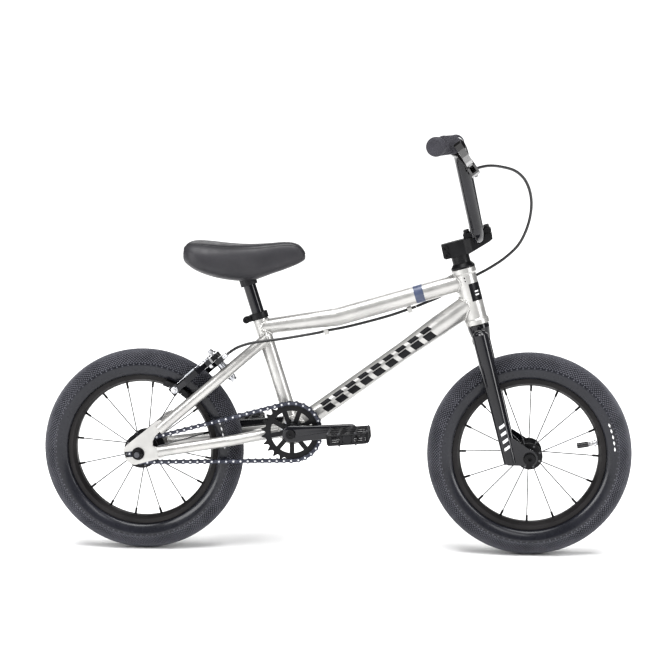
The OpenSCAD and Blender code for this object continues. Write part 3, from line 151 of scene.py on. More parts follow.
@dataclass(frozen=True)
class Finish:
    """A procedural surface whose colour, gloss and relief all vary.

    Lengths are in metres; the pattern sizes are how many features lie in a metre.
    """

    name: str
    dark: Colour
    light: Colour
    metallic: float = 0.0
    roughness: tuple[float, float] = (0.4, 0.5)
    coat: float = 0.0
    coat_roughness: float = 0.05
    specular: float = 0.5
    grain: Grain = Grain.MOULDED
    patches: float = 40.0
    fine: float = 900.0
    relief: float = 0.00003
    edge: float = 0.0

    def material(self) -> bpy.types.Material:
        """Builds the node tree once and reuses it afterwards.

        Returns:
            The finish's material.
        """
        found = bpy.data.materials.get(self.name)
        if found is not None:
            return found
        made = bpy.data.materials.new(self.name)
        made.use_nodes = True
        tree = made.node_tree
        tree.nodes.clear()
        out = tree.nodes.new("ShaderNodeOutputMaterial")
        shader = tree.nodes.new("ShaderNodeBsdfPrincipled")
        tree.links.new(shader.outputs["BSDF"], out.inputs["Surface"])
        for socket, value in (
            ("Metallic", self.metallic),
            ("Coat Weight", self.coat),
            ("Coat Roughness", self.coat_roughness),
            ("Specular IOR Level", self.specular),
        ):
            shader.inputs[socket].default_value = value
        place = tree.nodes.new("ShaderNodeTexCoord").outputs["Object"]
        patches = self._noise(tree, place, self.patches, 4.0)
        self._ramp(tree, patches, shader.inputs["Base Color"])
        spread = tree.nodes.new("ShaderNodeMapRange")
        for socket, value in zip(
            ("From Min", "From Max", "To Min", "To Max"), (*GLOSS_BAND, *self.roughness)
        ):
            spread.inputs[socket].default_value = value
        gloss = self._noise(tree, place, self.patches * GLOSS_FINER, 3.0)
        tree.links.new(gloss, spread.inputs["Value"])
        tree.links.new(spread.outputs["Result"], shader.inputs["Roughness"])
        bump = tree.nodes.new("ShaderNodeBump")
        bump.inputs["Distance"].default_value = self.relief
        bump.inputs["Strength"].default_value = 1.0
        tree.links.new(self._height(tree, place), bump.inputs["Height"])
        if self.edge > 0:
            rounded = tree.nodes.new("ShaderNodeBevel")
            rounded.samples = EDGE_SAMPLES
            rounded.inputs["Radius"].default_value = self.edge
            tree.links.new(rounded.outputs["Normal"], bump.inputs["Normal"])
        tree.links.new(bump.outputs["Normal"], shader.inputs["Normal"])
        return made

    def _noise(
        self, tree: bpy.types.NodeTree, place: bpy.types.NodeSocket, size: float, detail: float
    ) -> bpy.types.NodeSocket:
        """Adds a noise texture and returns its factor."""
        noise = tree.nodes.new("ShaderNodeTexNoise")
        noise.inputs["Scale"].default_value = size
        noise.inputs["Detail"].default_value = detail
        tree.links.new(place, noise.inputs["Vector"])
        return noise.outputs["Fac"]

    def _ramp(
        self, tree: bpy.types.NodeTree, value: bpy.types.NodeSocket, colour: bpy.types.NodeSocket
    ) -> None:
        """Runs a factor through this finish's two colours into a colour socket."""
        ramp = tree.nodes.new("ShaderNodeValToRGB")
        for stop, position, shade in zip(
            ramp.color_ramp.elements, COLOUR_BAND, (self.dark, self.light)
        ):
            stop.position = position
            stop.color = (*shade, 1)
        tree.links.new(value, ramp.inputs["Fac"])
        tree.links.new(ramp.outputs["Color"], colour)

    def _height(
        self, tree: bpy.types.NodeTree, place: bpy.types.NodeSocket
    ) -> bpy.types.NodeSocket:
        """Adds the pattern of this finish's relief.

        Args:
            tree: the material's node tree.
            place: the texture coordinates.

        Returns:
            The socket with the height.
        """
        if self.grain in (Grain.FLAKE, Grain.PEBBLE):
            cells = tree.nodes.new("ShaderNodeTexVoronoi")
            cells.inputs["Scale"].default_value = self.fine
            cells.feature = "SMOOTH_F1" if self.grain is Grain.PEBBLE else "F1"
            tree.links.new(place, cells.inputs["Vector"])
            return cells.outputs["Distance"]
        if self.grain is Grain.BRUSHED:
            lines = tree.nodes.new("ShaderNodeMapping")
            lines.inputs["Scale"].default_value = (1.0, BRUSH_STRETCH, 1.0)
            tree.links.new(place, lines.inputs["Vector"])
            return self._noise(tree, lines.outputs["Vector"], self.fine, 2.0)
        return self._noise(tree, place, self.fine, 5.0)


SILVER = Finish(
    "silver_paint", (0.43, 0.425, 0.415), (0.52, 0.515, 0.5), metallic=0.72, roughness=(0.3, 0.38),
    coat=0.25, coat_roughness=0.18, grain=Grain.FLAKE, patches=22, fine=2600, relief=0.000012,
    edge=0.0009,
)
GLOSS_BLACK = Finish(
    "gloss_black_paint", (0.004, 0.004, 0.006), (0.008, 0.008, 0.011), roughness=(0.1, 0.15),
    coat=0.5, coat_roughness=0.05, specular=0.25, patches=16, fine=1300, relief=0.000004,
    edge=0.0008,
)
SATIN_BLACK = Finish(
    "satin_black_coating", (0.005, 0.005, 0.006), (0.01, 0.01, 0.011), roughness=(0.32, 0.44),
    specular=0.25, grain=Grain.FLAKE, patches=30, fine=1800, relief=0.00001, edge=0.0007,
)
RIM_BLACK = Finish(
    "rim_anodising", (0.012, 0.011, 0.0115), (0.019, 0.0175, 0.018), roughness=(0.36, 0.46),
    specular=0.25, grain=Grain.BRUSHED, patches=18, fine=900, relief=0.000008, edge=0.0005,
)
BLACK_CHROME = Finish(
    "polished_black_metal", (0.012, 0.0115, 0.012), (0.022, 0.021, 0.022), metallic=0.5,
    roughness=(0.09, 0.15), coat=0.4, patches=24, fine=900, relief=0.000004, edge=0.0008,
)
MOULDED = Finish(
    "moulded_black_plastic", (0.009, 0.009, 0.01), (0.016, 0.016, 0.018), roughness=(0.42, 0.55),
    specular=0.3, grain=Grain.PEBBLE, patches=26, fine=1400, relief=0.00003, edge=0.0006,
)
# Painted highlight: the tread studs are the sidewall's rubber painted several times lighter,
# standing in for the glints on the knurl's facets.
LIT_TREAD = Finish(
    "tread_rubber_painted_highlight", (0.076, 0.077, 0.09), (0.102, 0.103, 0.119), roughness=(0.4, 0.52),
    specular=0.3, patches=30, fine=1100, relief=0.00004,
)
# Painted shade: the casing under the tread is the sidewall's rubber painted near-black, standing in
# for the shade down in the grooves between the studs.
SHADED_GROOVE = Finish(
    "tread_groove_painted_shade", (0.003, 0.003, 0.004), (0.005, 0.005, 0.007), roughness=(0.6, 0.75),
    specular=0.1, patches=30, fine=1100,
)
SIDEWALL = Finish(
    "sidewall_rubber", (0.012, 0.0126, 0.017), (0.018, 0.0186, 0.0245), roughness=(0.24, 0.32),
    specular=0.25, coat=0.35, coat_roughness=0.16, patches=14, fine=700, relief=0.00002,
)
GRIP_RUBBER = Finish(
    "soft_grip", (0.03, 0.029, 0.036), (0.042, 0.041, 0.05), roughness=(0.6, 0.75), specular=0.35,
    grain=Grain.PEBBLE, patches=40, fine=1500, relief=0.00003,
)
VINYL = Finish(
    "grained_vinyl", (0.021, 0.0205, 0.024), (0.03, 0.029, 0.033), roughness=(0.44, 0.56),
    specular=0.4, grain=Grain.PEBBLE, patches=26, fine=950, relief=0.00007,
)
VINYL_TOP = Finish(
    "smooth_vinyl", (0.01, 0.0095, 0.012), (0.016, 0.015, 0.019), roughness=(0.38, 0.48),
    specular=0.4, grain=Grain.PEBBLE, patches=26, fine=1250, relief=0.00004,
)
PIPING = Finish(
    "saddle_piping", (0.012, 0.012, 0.014), (0.018, 0.018, 0.02), roughness=(0.42, 0.5),
    patches=60, fine=2000,
)
ZINC = Finish(
    "zinc_plate", (0.46, 0.47, 0.5), (0.64, 0.64, 0.65), metallic=1.0, roughness=(0.2, 0.32),
    grain=Grain.BRUSHED, patches=70, fine=1500, relief=0.00001, edge=0.0004,
)
SPOKE_WIRE = Finish(
    "spoke_wire", (0.08, 0.08, 0.085), (0.14, 0.14, 0.145), metallic=1.0, roughness=(0.24, 0.34),
    grain=Grain.BRUSHED, patches=50, fine=1200, relief=0.000006,
)
CHAIN_STEEL = Finish(
    "blued_chain_steel", (0.04, 0.043, 0.058), (0.08, 0.084, 0.106), metallic=0.85,
    roughness=(0.3, 0.44), grain=Grain.BRUSHED, patches=110, fine=1300, relief=0.00001,
    edge=0.0003,
)
COG_STEEL = Finish(
    "cog_steel", (0.07, 0.072, 0.08), (0.13, 0.13, 0.14), metallic=0.9, roughness=(0.34, 0.46),
    grain=Grain.BRUSHED, patches=80, fine=1300, relief=0.00001, edge=0.0003,
)
JACKET = Finish(
    "jacket_plastic", (0.007, 0.007, 0.008), (0.012, 0.012, 0.013), roughness=(0.3, 0.4), coat=0.2,
    patches=80, fine=1500, relief=0.00001,
)
SLEEVE = Finish(
    "clear_sleeve", (0.5, 0.52, 0.55), (0.62, 0.64, 0.66), roughness=(0.28, 0.38), patches=90,
    fine=1500,
)
BAND_BLUE = Finish(
    "band_film", (0.05, 0.064, 0.11), (0.064, 0.08, 0.135), roughness=(0.3, 0.38), coat=0.15,
    patches=60, fine=900, relief=0.00001,
)
BADGE_BLACK = Finish(
    "badge_film", (0.003, 0.003, 0.004), (0.006, 0.006, 0.008), roughness=(0.3, 0.4),
    specular=0.25, patches=60, fine=900, relief=0.00001,
)
MARK_WHITE = Finish(
    "mark_white", (0.72, 0.72, 0.73), (0.82, 0.82, 0.83), roughness=(0.35, 0.45), patches=90,
    fine=900,
)
FLOOR = Finish(
    "studio_floor", (0.9, 0.9, 0.9), (0.93, 0.93, 0.93), roughness=(0.7, 0.8), patches=2,
    fine=60,
)


# ---------------------------------------------------------------- mesh and node helpers


def mesh_object(
    name: str, points: Iterable[Vector], faces: Sequence[Sequence[int]], finish: Finish,
    smooth: bool = True,
) -> bpy.types.Object:
    """Makes a mesh object at the origin.

    Args:
        name: the piece's name.
        points: vertex positions in metres.
        faces: vertex indices of each face, anticlockwise from outside.
        finish: the surface of all its faces.
        smooth: whether faces are shaded smoothly.

    Returns:
        The new object, linked to the scene.
    """
    mesh = bpy.data.meshes.new(name)
    mesh.from_pydata([tuple(p) for p in points], [], [tuple(f) for f in faces])
    mesh.validate()
    for face in mesh.polygons:
        face.use_smooth = smooth
    mesh.materials.append(finish.material())
    made = bpy.data.objects.new(name, mesh)
    bpy.context.scene.collection.objects.link(made)
    return made


def ring_faces(
    rings: int, sides: int, closed: bool = False, start: int = 0
) -> list[tuple[int, ...]]:
    """Faces between consecutive rings of vertices.

    Args:
        rings: how many rings.
        sides: vertices in each ring.
        closed: whether the last ring joins the first, in place of caps.
        start: index of the first vertex.

    Returns:
        Quads, with two end caps if the rings aren't closed.
    """
    faces: list[tuple[int, ...]] = []
    for i in range(rings if closed else rings - 1):
        here, there = start + i * sides, start + (i + 1) % rings * sides
        for k in range(sides):
            nxt = (k + 1) % sides
            faces.append((here + k, here + nxt, there + nxt, there + k))
    if not closed:
        faces.append(tuple(start + k for k in reversed(range(sides))))
        faces.append(tuple(start + (rings - 1) * sides + k for k in range(sides)))
    return faces


def set_normals_outwards(piece: bpy.types.Object) -> None:
    """Merges doubles and turns every face outwards."""
    work = bmesh.new()
    work.from_mesh(piece.data)
    bmesh.ops.remove_doubles(work, verts=work.verts, dist=MERGE)
    bmesh.ops.recalc_face_normals(work, faces=work.faces)
    work.to_mesh(piece.data)
    work.free()


def lathe(
    name: str, profile: Sequence[tuple[float, float]], segments: int, place: Matrix, finish: Finish
) -> bpy.types.Object:
    """Turns a closed profile into a ring.

    Args:
        name: the piece's name.
        profile: (radius, height) pairs in millimetres round the closed section.
        segments: steps round the axis.
        place: matrix whose Z is the axis of turning.
        finish: the surface.

    Returns:
        The turned object.
    """
    points = []
    for k in range(segments):
        a = 2 * math.pi * k / segments
        points += [place @ Vector((r * math.cos(a), r * math.sin(a), h)) for r, h in profile]
    piece = mesh_object(name, points, ring_faces(segments, len(profile), closed=True), finish)
    set_normals_outwards(piece)
    return piece


def turned(
    name: str, profile: Sequence[tuple[float, float]], segments: int, place: Matrix, finish: Finish
) -> bpy.types.Object:
    """Turns an open profile that starts and ends on the axis into a closed solid."""
    points = [place @ Vector((0, 0, profile[0][1]))]
    for r, h in profile:
        for k in range(segments):
            a = 2 * math.pi * k / segments
            points.append(place @ Vector((r * math.cos(a), r * math.sin(a), h)))
    points.append(place @ Vector((0, 0, profile[-1][1])))
    faces = ring_faces(len(profile), segments, start=1)[:-2]
    last = len(points) - 1
    for k in range(segments):
        faces.append((0, 1 + (k + 1) % segments, 1 + k))
        faces.append((last, last - segments + k, last - segments + (k + 1) % segments))
    piece = mesh_object(name, points, faces, finish)
    set_normals_outwards(piece)
    return piece


def aim(start: Vector, end: Vector) -> Matrix:
    """Frame at start whose Z runs towards end, without scale."""
    return Matrix.Translation(start) @ (end - start).to_track_quat("Z", "Y").to_matrix().to_4x4()


def smooth_path(points: Sequence[Sequence[float]], steps: int, scale: float = MM) -> list[Vector]:
    """Catmull-Rom curve through points.

    Args:
        points: points to pass through.
        steps: new points in each span.
        scale: factor from the points' unit to metres.

    Returns:
        Points of the curve in metres.
    """
    given = [Vector(p) * scale for p in points]
    line = []
    for i in range(len(given) - 1):
        a, b, c = given[max(i - 1, 0)], given[i], given[i + 1]
        d = given[min(i + 2, len(given) - 1)]
        for k in range(steps):
            t = k / steps
            square = (2 * a - 5 * b + 4 * c - d) * t * t
            cube = (3 * b - a - 3 * c + d) * t**3
            line.append(0.5 * (2 * b + (c - a) * t + square + cube))
    return line + [given[-1]]


def ride(piece: bpy.types.Object, body: str, slot: str, *replaced: str) -> bpy.types.Object:
    """Hands a finished piece to its body and hides the nodes it stands for."""
    if replaced:
        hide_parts(*replaced)
    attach(piece, body)
    LOG.info("%s: %d faces on %s", piece.name, len(piece.data.polygons), body)
    return piece


def joined(name: str, parts: Sequence[bpy.types.Object]) -> bpy.types.Object:
    """Joins mesh objects at the origin into one, keeping their materials."""
    for part in parts:
        part.select_set(True)
    bpy.context.view_layer.objects.active = parts[0]
    with bpy.context.temp_override(active_object=parts[0], selected_editable_objects=list(parts)):
        bpy.ops.object.join()
    parts[0].name = name
    parts[0].data.name = name
    return parts[0]


class NodeRecipe:
    """A geometry node tree with named inputs, run once to give a plain mesh."""

    def __init__(self, name: str) -> None:
        """Starts an empty tree with a geometry input and output."""
        self.tree = bpy.data.node_groups.new(name, "GeometryNodeTree")
        for way in ("INPUT", "OUTPUT"):
            self.tree.interface.new_socket(
                "Geometry", in_out=way, socket_type="NodeSocketGeometry"
            )
        self.start = self.tree.nodes.new("NodeGroupInput")
        self.end = self.tree.nodes.new("NodeGroupOutput")

    def size(self, name: str, value: float, kind: str = "NodeSocketFloat") -> bpy.types.NodeSocket:
        """Adds a named input and returns its socket inside the tree."""
        made = self.tree.interface.new_socket(name, in_out="INPUT", socket_type=kind)
        made.default_value = value
        return self.start.outputs[name]

    def node(self, kind: str, **settings: object) -> bpy.types.Node:
        """Adds a node, with sockets to link or values given by name.

        Args:
            kind: the node's type name.
            settings: attributes of the node, or input sockets where the name ends in _in.

        Returns:
            The new node.
        """
        made = self.tree.nodes.new(kind)
        wires = {}
        for key, value in settings.items():
            if key.endswith("_in"):
                wires[key[:-3].replace("_", " ").title()] = value
            else:
                setattr(made, key, value)
        for key, value in wires.items():
            self.wire(made, key, value)
        return made

    def wire(self, node: bpy.types.Node, socket: str | int, value: object) -> None:
        """Links a socket, or sets its value if it isn't a socket."""
        if isinstance(value, bpy.types.NodeSocket):
            self.tree.links.new(value, node.inputs[socket])
        else:
            node.inputs[socket].default_value = value

    def math(self, operation: str, a: object, b: object = 0.0) -> bpy.types.NodeSocket:
        """Adds a math node and returns its result."""
        made = self.tree.nodes.new("ShaderNodeMath")
        made.operation = operation
        self.wire(made, 0, a)
        self.wire(made, 1, b)
        return made.outputs[0]

    def finish(
        self, geometry: bpy.types.NodeSocket, material: bpy.types.Material, smooth: bool
    ) -> None:
        """Realizes, shades and paints the result, and ends the tree."""
        real = self.node("GeometryNodeRealizeInstances")
        self.tree.links.new(geometry, real.inputs["Geometry"])
        shade = self.node("GeometryNodeSetShadeSmooth", shade_smooth_in=smooth)
        self.tree.links.new(real.outputs[0], shade.inputs[0])
        paint = self.node("GeometryNodeSetMaterial", material_in=material)
        self.tree.links.new(shade.outputs[0], paint.inputs["Geometry"])
        self.tree.links.new(paint.outputs[0], self.end.inputs[0])

    def run(self, name: str, source: bpy.types.Object, sizes: dict[str, float]) -> bpy.types.Object:
        """Evaluates the tree on an object and keeps only the resulting mesh.

        Args:
            name: name of the new piece.
            source: object that carries the tree; it is removed afterwards.
            sizes: values of the tree's named inputs.

        Returns:
            A plain mesh object at the origin.
        """
        modifier = source.modifiers.new(name, "NODES")
        modifier.node_group = self.tree
        for item in self.tree.interface.items_tree:
            if item.in_out == "INPUT" and item.name in sizes:
                modifier[item.identifier] = sizes[item.name]
        bpy.context.view_layer.update()
        graph = bpy.context.evaluated_depsgraph_get()
        mesh = bpy.data.meshes.new_from_object(source.evaluated_get(graph), depsgraph=graph)
        mesh.name = name
        made = bpy.data.objects.new(name, mesh)
        bpy.context.scene.collection.objects.link(made)
        data = source.data
        bpy.data.objects.remove(source)
        if isinstance(data, bpy.types.Curve):
            bpy.data.curves.remove(data)
        return made


def curve_object(lines: Sequence[Sequence[Vector]], closed: bool = False) -> bpy.types.Object:
    """Makes a curve object of straight-sided splines.

    Args:
        lines: points of each spline in metres.
        closed: whether each spline joins its end to its start.

    Returns:
        The curve object, linked to the scene.
    """
    data = bpy.data.curves.new("path", "CURVE")
    data.dimensions = "3D"
    for line in lines:
        spline = data.splines.new("POLY")
        spline.points.add(len(line) - 1)
        spline.points.foreach_set("co", [c for p in line for c in (*p, 1.0)])
        spline.use_cyclic_u = closed
    made = bpy.data.objects.new("path", data)
    bpy.context.scene.collection.objects.link(made)
    return made


def tube_along(
    name: str, lines: Sequence[Sequence[Vector]], radius: float, finish: Finish,
    closed: bool = False, ripple: float = 0.0, pitch: float = 0.003, step: float = 0.002,
    sides: int = 12,
) -> bpy.types.Object:
    """A round cord, wire or weld bead along paths, made by geometry nodes.

    Args:
        name: the piece's name.
        lines: the paths, in metres.
        radius: the tube's radius.
        finish: the surface.
        closed: whether the paths are loops.
        ripple: share of the radius by which it swells and shrinks along the way.
        pitch: length of one swelling.
        step: length between rings.
        sides: sides of the section.

    Returns:
        The tube as a plain mesh.
    """
    recipe = NodeRecipe(name + "_recipe")
    thick, swell = recipe.size("Radius", radius), recipe.size("Ripple", ripple)
    wave, spacing = recipe.size("Ripple Pitch", pitch), recipe.size("Step", step)
    resampled = recipe.node("GeometryNodeResampleCurve", mode="LENGTH", length_in=spacing)
    recipe.tree.links.new(recipe.start.outputs[0], resampled.inputs["Curve"])
    along = recipe.node("GeometryNodeSplineParameter").outputs["Length"]
    turns = recipe.math("DIVIDE", recipe.math("MULTIPLY", along, 2 * math.pi), wave)
    swelling = recipe.math("ADD", recipe.math("MULTIPLY", recipe.math("SINE", turns), swell), 1.0)
    section = recipe.node("GeometryNodeCurvePrimitiveCircle", resolution_in=sides, radius_in=thick)
    swept = recipe.node("GeometryNodeCurveToMesh", scale_in=swelling, fill_caps_in=True)
    recipe.tree.links.new(resampled.outputs[0], swept.inputs["Curve"])
    recipe.tree.links.new(section.outputs[0], swept.inputs["Profile Curve"])
    recipe.finish(swept.outputs[0], finish.material(), True)
    sizes = {"Radius": radius, "Ripple": ripple, "Ripple Pitch": pitch, "Step": step}
    return recipe.run(name, curve_object(lines, closed), sizes)


@dataclass(frozen=True)
class Stud:
    """One raised pyramid of a pattern, in metres."""

    long: float
    wide: float
    high: float
    top: float = 0.45
    sides: int = 4


def studs_on(
    name: str, spots: Sequence[Vector], outward: Sequence[Vector], along: Sequence[Vector],
    stud: Stud, finish: Finish, smooth: bool = False,
) -> bpy.types.Object:
    """Repeats a stud at given spots, made by geometry nodes.

    Args:
        name: the piece's name.
        spots: where the studs stand, in metres.
        outward: each stud's upward direction.
        along: each stud's long direction.
        stud: its sizes.
        finish: the surface.
        smooth: whether the studs are shaded smoothly.

    Returns:
        All the studs as one plain mesh.
    """
    recipe = NodeRecipe(name + "_recipe")
    long, wide = recipe.size("Length", stud.long), recipe.size("Width", stud.wide)
    high, top = recipe.size("Height", stud.high), recipe.size("Top", stud.top)
    cone = recipe.node(
        "GeometryNodeMeshCone", vertices_in=stud.sides, radius_top_in=top, radius_bottom_in=1.0
    )
    recipe.wire(cone, "Depth", high)
    stretch = recipe.node("ShaderNodeCombineXYZ", x_in=recipe.math("MULTIPLY", long, 0.5))
    recipe.wire(stretch, "Y", recipe.math("MULTIPLY", wide, 0.5))
    recipe.wire(stretch, "Z", 1.0)
    up = recipe.node("GeometryNodeInputNamedAttribute", data_type="FLOAT_VECTOR", name_in="outward")
    run = recipe.node("GeometryNodeInputNamedAttribute", data_type="FLOAT_VECTOR", name_in="along")
    stand = recipe.node("FunctionNodeAlignRotationToVector", axis="Z", vector_in=up.outputs[0])
    turn = recipe.node(
        "FunctionNodeAlignRotationToVector", axis="X", pivot_axis="Z", vector_in=run.outputs[0],
        rotation_in=stand.outputs[0],
    )
    placed = recipe.node(
        "GeometryNodeInstanceOnPoints", rotation_in=turn.outputs[0], scale_in=stretch.outputs[0]
    )
    recipe.tree.links.new(recipe.start.outputs[0], placed.inputs["Points"])
    recipe.tree.links.new(cone.outputs[0], placed.inputs["Instance"])
    recipe.finish(placed.outputs[0], finish.material(), smooth)
    mesh = bpy.data.meshes.new("spots")
    mesh.from_pydata([tuple(p) for p in spots], [], [])
    for label, vectors in (("outward", outward), ("along", along)):
        stored = mesh.attributes.new(label, "FLOAT_VECTOR", "POINT")
        stored.data.foreach_set("vector", [c for v in vectors for c in v])
    source = bpy.data.objects.new("spots", mesh)
    bpy.context.scene.collection.objects.link(source)
    sizes = {"Length": stud.long, "Width": stud.wide, "Height": stud.high, "Top": stud.top}
    return recipe.run(name, source, sizes)


def paint(node: str, finish: Finish) -> None:
    """Gives a CAD node its finish."""
    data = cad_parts[node].data
    data.materials.clear()
    data.materials.append(finish.material())


def paint_where(node: str, finish: Finish, chosen: Callable[[Vector], bool]) -> None:
    """Gives another finish to the faces of a CAD node whose centres are chosen.

    Args:
        node: the node's name.
        finish: the second finish.
        chosen: tells from a face's centre, in metres, whether it is one of them.
    """
    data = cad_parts[node].data
    data.materials.append(finish.material())
    index = len(data.materials) - 1
    for face in data.polygons:
        if chosen(face.center):
            face.material_index = index


# ---------------------------------------------------------------- wheels


@dataclass
class Wheel:
    """Tyre with its tread and the finishes of rim, spokes and hub."""

    end: str
    axle: Vector
    tyre_mid: float = 151.5
    section_r: float = 25.5
    rows: int = 31
    spread: float = 80.0
    around: int = 190
    casing_steps: int = 44
    casing_reach: float = 132.0
    inner_r: float = 22.4
    groove_r: float = 24.0
    edge_pairs: int = 95
    edge_out: float = 7.0
    mark_step: float = 4.2
    mark_over: float = 98.0
    nipples_from: float = 109.5
    valve: tuple[float, float] = (104.5, 119.0)

    def place(self) -> Matrix:
        """Frame of the wheel: Z along the axle to the rider's right, X forward."""
        turn = Matrix.Rotation(math.pi / 2, 4, "X")
        return Matrix.Translation(self.axle) @ turn @ Matrix.Scale(MM, 4)

    def on_tyre(self, around: float, over: float, radius: float) -> tuple[Vector, Vector, Vector]:
        """A spot on the tyre.

        Args:
            around: angle round the axle, in radians.
            over: angle round the section from its crown, in radians.
            radius: distance from the section's middle, in millimetres.

        Returns:
            The spot in metres, the outward direction and the direction of rolling.
        """
        turn = self.place().to_3x3().normalized()
        spoke = Vector((math.cos(around), math.sin(around), 0))
        out = spoke * math.cos(over) + Vector((0, 0, 1)) * math.sin(over)
        spot = self.place() @ (spoke * self.tyre_mid + out * radius)
        rolling = Vector((-math.sin(around), math.cos(around), 0))
        return spot, turn @ out, turn @ rolling

    def casing_profile(self) -> list[tuple[float, float]]:
        """Closed section of the casing, with its mould lines and rim ridge."""
        outer = []
        for k in range(self.casing_steps + 1):
            over = math.radians(-self.casing_reach + 2 * self.casing_reach * k / self.casing_steps)
            lift = 0.0
            for line in (88, 91, 116):
                if abs(abs(math.degrees(over)) - line) < 1.6:
                    lift = 0.35 if line == 91 else -0.3
            wall = 0.25 if abs(math.degrees(over)) > 84 else 0.0
            r = self.section_r + wall + lift
            outer.append((self.tyre_mid + r * math.cos(over), r * math.sin(over)))
        low = [
            (134.1, outer[-1][1] - 1.2), (134.0, 12.2), (128.0, 12.2), (128.0, 9.2), (134.5, 10.6),
        ]
        inner = []
        for a in range(120, -121, -15):
            over = math.radians(a)
            inner.append(
                (self.tyre_mid + self.inner_r * math.cos(over), self.inner_r * math.sin(over))
            )
        high = [(r, -h) for r, h in reversed(low)]
        return outer + low + inner + high

    def tyre(self) -> None:
        """Casing, tread and edge studs, in place of the plain tyre."""
        body = self.end + "_wheel"
        casing = lathe(
            self.end + "_tyre_casing", self.casing_profile(), 160, self.place(), SIDEWALL
        )
        # Casing faces under the tread take the near-black groove finish, which is painted shade
        # between the studs.
        casing.data.materials.append(SHADED_GROOVE.material())
        back = self.place().inverted()
        for face in casing.data.polygons:
            at = back @ face.center
            beyond = math.hypot(at.x, at.y) - self.tyre_mid
            over = math.degrees(math.atan2(abs(at.z), beyond))
            if over < self.spread + 1 and math.hypot(at.z, beyond) > self.groove_r:
                face.material_index = 1
        spots: list[Vector] = []
        outs: list[Vector] = []
        rolls: list[Vector] = []
        for row in range(self.rows):
            over = math.radians(-self.spread + 2 * self.spread * row / (self.rows - 1))
            for k in range(self.around):
                around = 2 * math.pi * (k + 0.5 * (row % 2)) / self.around
                spot, out, rolling = self.on_tyre(around, over, self.section_r - 0.1)
                spots.append(spot)
                outs.append(out)
                rolls.append(rolling)
        # The studs and edge dots take the lighter tread finish, a painted highlight.
        tread = studs_on(
            self.end + "_tread", spots, outs, rolls, Stud(0.0045, 0.0038, 0.0015, 0.5), LIT_TREAD
        )
        edge = [
            self.on_tyre(
                2 * math.pi * k / self.edge_pairs,
                math.radians(side * (self.spread + self.edge_out)),
                self.section_r,
            )
            for k in range(self.edge_pairs) for side in (-1, 1)
        ]
        dots = studs_on(
            self.end + "_tread_edge", *([e[i] for e in edge] for i in range(3)),
            Stud(0.0042, 0.0022, 0.0009, 0.6, 6), LIT_TREAD,
        )
        whole = joined(self.end + "_tyre_treaded", [casing, tread, dots])
        ride(whole, body, "tyre_rubber", self.end + "_tyre")

    def marks(self, start: float) -> None:
        """Short white bars moulded on the drive side of the sidewall."""
        over = math.radians(self.mark_over)
        parts = [
            self.on_tyre(math.radians(start - self.mark_step * k), over, self.section_r + 0.4)
            for k in range(5)
        ]
        bars = studs_on(
            self.end + "_sidewall_marks", *([p[i] for p in parts] for i in range(3)),
            Stud(0.0085, 0.0034, 0.0005, 0.95), MARK_WHITE,
        )
        ride(bars, self.end + "_wheel", "tyre_rubber")

    def build(self, mark_start: float) -> None:
        """Makes the tyre and paints the rest of the wheel."""
        self.tyre()
        self.marks(mark_start)
        paint(self.end + "_rim", RIM_BLACK)
        paint(self.end + "_hub", SATIN_BLACK)
        paint(self.end + "_bearings", ZINC)
        paint(self.end + "_spokes", SPOKE_WIRE)
        paint(self.end + "_tube", JACKET)

        def from_axle(centre: Vector) -> float:
            """Distance of a face from the axle, in metres."""
            return math.hypot(centre.x - self.axle.x, centre.z - self.axle.z)

        paint_where(
            self.end + "_spokes", SATIN_BLACK,
            lambda c: from_axle(c) > self.nipples_from * MM and abs(c.y) < 0.02,
        )
        paint_where(
            self.end + "_tube", ZINC,
            lambda c: self.valve[0] * MM < from_axle(c) < self.valve[1] * MM,
        )


# ---------------------------------------------------------------- frame


@dataclass(frozen=True)
class Tube:
    """A round tube by two points of its axis and its radius, in millimetres.

    Its flare gives where along it the wall starts to widen, where it stops, and by how much.
    """

    start: Vector
    end: Vector
    radius: float
    flare: tuple[float, float, float] = (0.0, 1.0, 0.0)

    @property
    def way(self) -> Vector:
        """Unit direction from start to end."""
        return (self.end - self.start).normalized()

    def side(self) -> tuple[Vector, Vector]:
        """Two unit vectors square to the tube."""
        level = Vector((0, 1, 0)) if abs(self.way.y) < 0.9 else Vector((1, 0, 0))
        across = self.way.cross(level).normalized()
        return across, self.way.cross(across)

    def wall(self, angle: float, along: float, lift: float = 0.0) -> Vector:
        """A point on the wall, in millimetres."""
        a, b = self.side()
        out = a * math.cos(angle) + b * math.sin(angle)
        begin, stop, extra = self.flare
        wider = extra * min(max((along - begin) / (stop - begin), 0.0), 1.0)
        return self.start + self.way * along + out * (self.radius + wider + lift)

    def meets(self, other: "Tube", steps: int = 72) -> list[Vector]:
        """Line where this tube's wall runs into another tube.

        Args:
            other: the tube that this one is welded to.
            steps: points round the joint.

        Returns:
            Points of the line in millimetres.
        """
        line = []
        for k in range(steps):
            a, b = self.side()
            angle = 2 * math.pi * k / steps
            base = self.start + (a * math.cos(angle) + b * math.sin(angle)) * self.radius
            flat = self.way - other.way * self.way.dot(other.way)
            offset = base - other.start
            offset = offset - other.way * offset.dot(other.way)
            qa, qb = flat.dot(flat), 2 * flat.dot(offset)
            inside = max(qb * qb - 4 * qa * (offset.dot(offset) - other.radius**2), 0.0)
            line.append(base + self.way * ((-qb - math.sqrt(inside)) / (2 * qa)))
        return line


